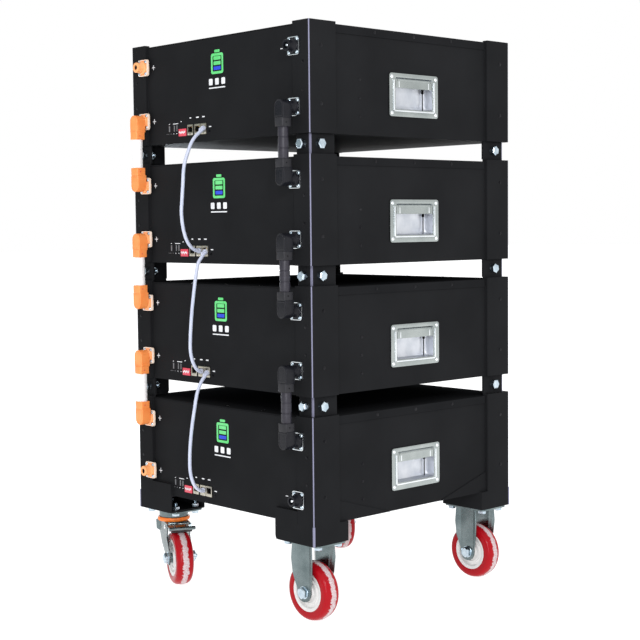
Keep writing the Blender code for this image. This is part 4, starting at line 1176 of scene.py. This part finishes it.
for place_word, end_sign in ENDS:
    fixed_centre = (CASTER_X, end_sign * CASTER_Y, WHEEL_RADIUS)
    wheel(f"{place_word}_right_roller", f"{place_word}_right_wheel", fixed_centre, (0, 1, 0))
    axle_fittings(f"{place_word}_right_axle_ends", "rack", fixed_centre, (0, 1, 0))
    roll_way = Vector((math.cos(TRAIL_ANGLE), math.sin(TRAIL_ANGLE), 0))
    axle_way = Vector((-roll_way.y, roll_way.x, 0))
    swivel_at = Vector((-CASTER_X, end_sign * CASTER_Y, 0))
    swivel_centre = swivel_at + roll_way * TRAIL + Vector((0, 0, WHEEL_RADIUS))
    wheel(f"{place_word}_left_roller", f"{place_word}_left_wheel", swivel_centre, axle_way)
    fork = f"{place_word}_left_fork"
    axle_fittings(f"{place_word}_left_axle_ends", fork, swivel_centre, axle_way)
    hinge_at = swivel_at + roll_way * PEDAL_REACH + Vector((0, 0, PEDAL_HEIGHT))
    pedal_pad(place_word, hinge_at, roll_way, axle_way)
    for side_word, side_sign in SIDES:
        caster_bolts(place_word, side_word, side_sign, end_sign)

# ------------------------ studio


def make_floor():
    """A pale floor that reaches far behind the object."""
    bm = bmesh.new()
    bmesh.ops.create_grid(bm, x_segments=1, y_segments=1, size=30.0)
    mesh = bpy.data.meshes.new("floor")
    bm.to_mesh(mesh)
    bm.free()
    floor = bpy.data.objects.new("floor", mesh)
    floor.location = (0, 0, -0.0005)
    made = Material("floor_white", roughness=0.9, specular=0.1)
    made.colour(made.blend(made.noise(3.0), (0.36, 0.36, 0.36), (0.38, 0.38, 0.38)))
    set_inputs(made.shader, Emission_Color=(1, 1, 1, 1), Emission_Strength=0.9)
    mesh.materials.append(made.material)
    SCENE_OBJECTS.link(floor)


def make_world():
    """A white studio with a darker quarter, so that plated steel has something to reflect."""
    world = bpy.data.worlds.new("studio")
    world.use_nodes = True
    tree = world.node_tree
    background = tree.nodes["Background"]
    where = tree.nodes.new("ShaderNodeTexCoord").outputs["Generated"]
    dot = tree.nodes.new("ShaderNodeVectorMath")
    dot.operation = "DOT_PRODUCT"
    dot.inputs[1].default_value = Vector((-0.72, -0.69, 0.0)).normalized()
    tree.links.new(where, dot.inputs[0])
    ramp = tree.nodes.new("ShaderNodeValToRGB")
    stops = ramp.color_ramp.elements
    stops[0].position, stops[0].color = 0.6, (1.0, 1.0, 1.0, 1.0)
    stops[1].position, stops[1].color = 0.93, (0.34, 0.39, 0.4, 1.0)
    tree.links.new(dot.outputs["Value"], ramp.inputs["Fac"])
    tree.links.new(ramp.outputs["Color"], background.inputs["Color"])
    background.inputs["Strength"].default_value = 1.0
    bpy.context.scene.world = world


def make_light(name, direction, distance, width, height, power, colour=(1, 1, 1)):
    """A soft box aimed at the middle of the stack."""
    target = Vector((0, 0, STACK_HEIGHT / 2 * MM))
    data = bpy.data.lights.new(name, "AREA")
    data.shape = "RECTANGLE"
    data.size = width
    data.size_y = height
    data.energy = power
    data.color = colour
    light = bpy.data.objects.new(name, data)
    place = target + Vector(direction).normalized() * distance
    light.location = place
    light.rotation_euler = (target - place).to_track_quat("-Z", "Y").to_euler()
    SCENE_OBJECTS.link(light)


make_floor()
make_world()
make_light("key", (0.70, -0.72, 0.08), 3.2, 0.45, 2.6, 34.0, (0.9, 0.9, 1.0))
make_light("left_fill", (-0.955, 0.297, 0.02), 2.6, 1.5, 1.4, 40.0, (0.8, 0.9, 1.0))
make_light("glint", (0.80, -0.55, 0.36), 3.0, 0.14, 0.14, 13.0)
bpy.context.scene.view_settings.view_transform = "Standard"
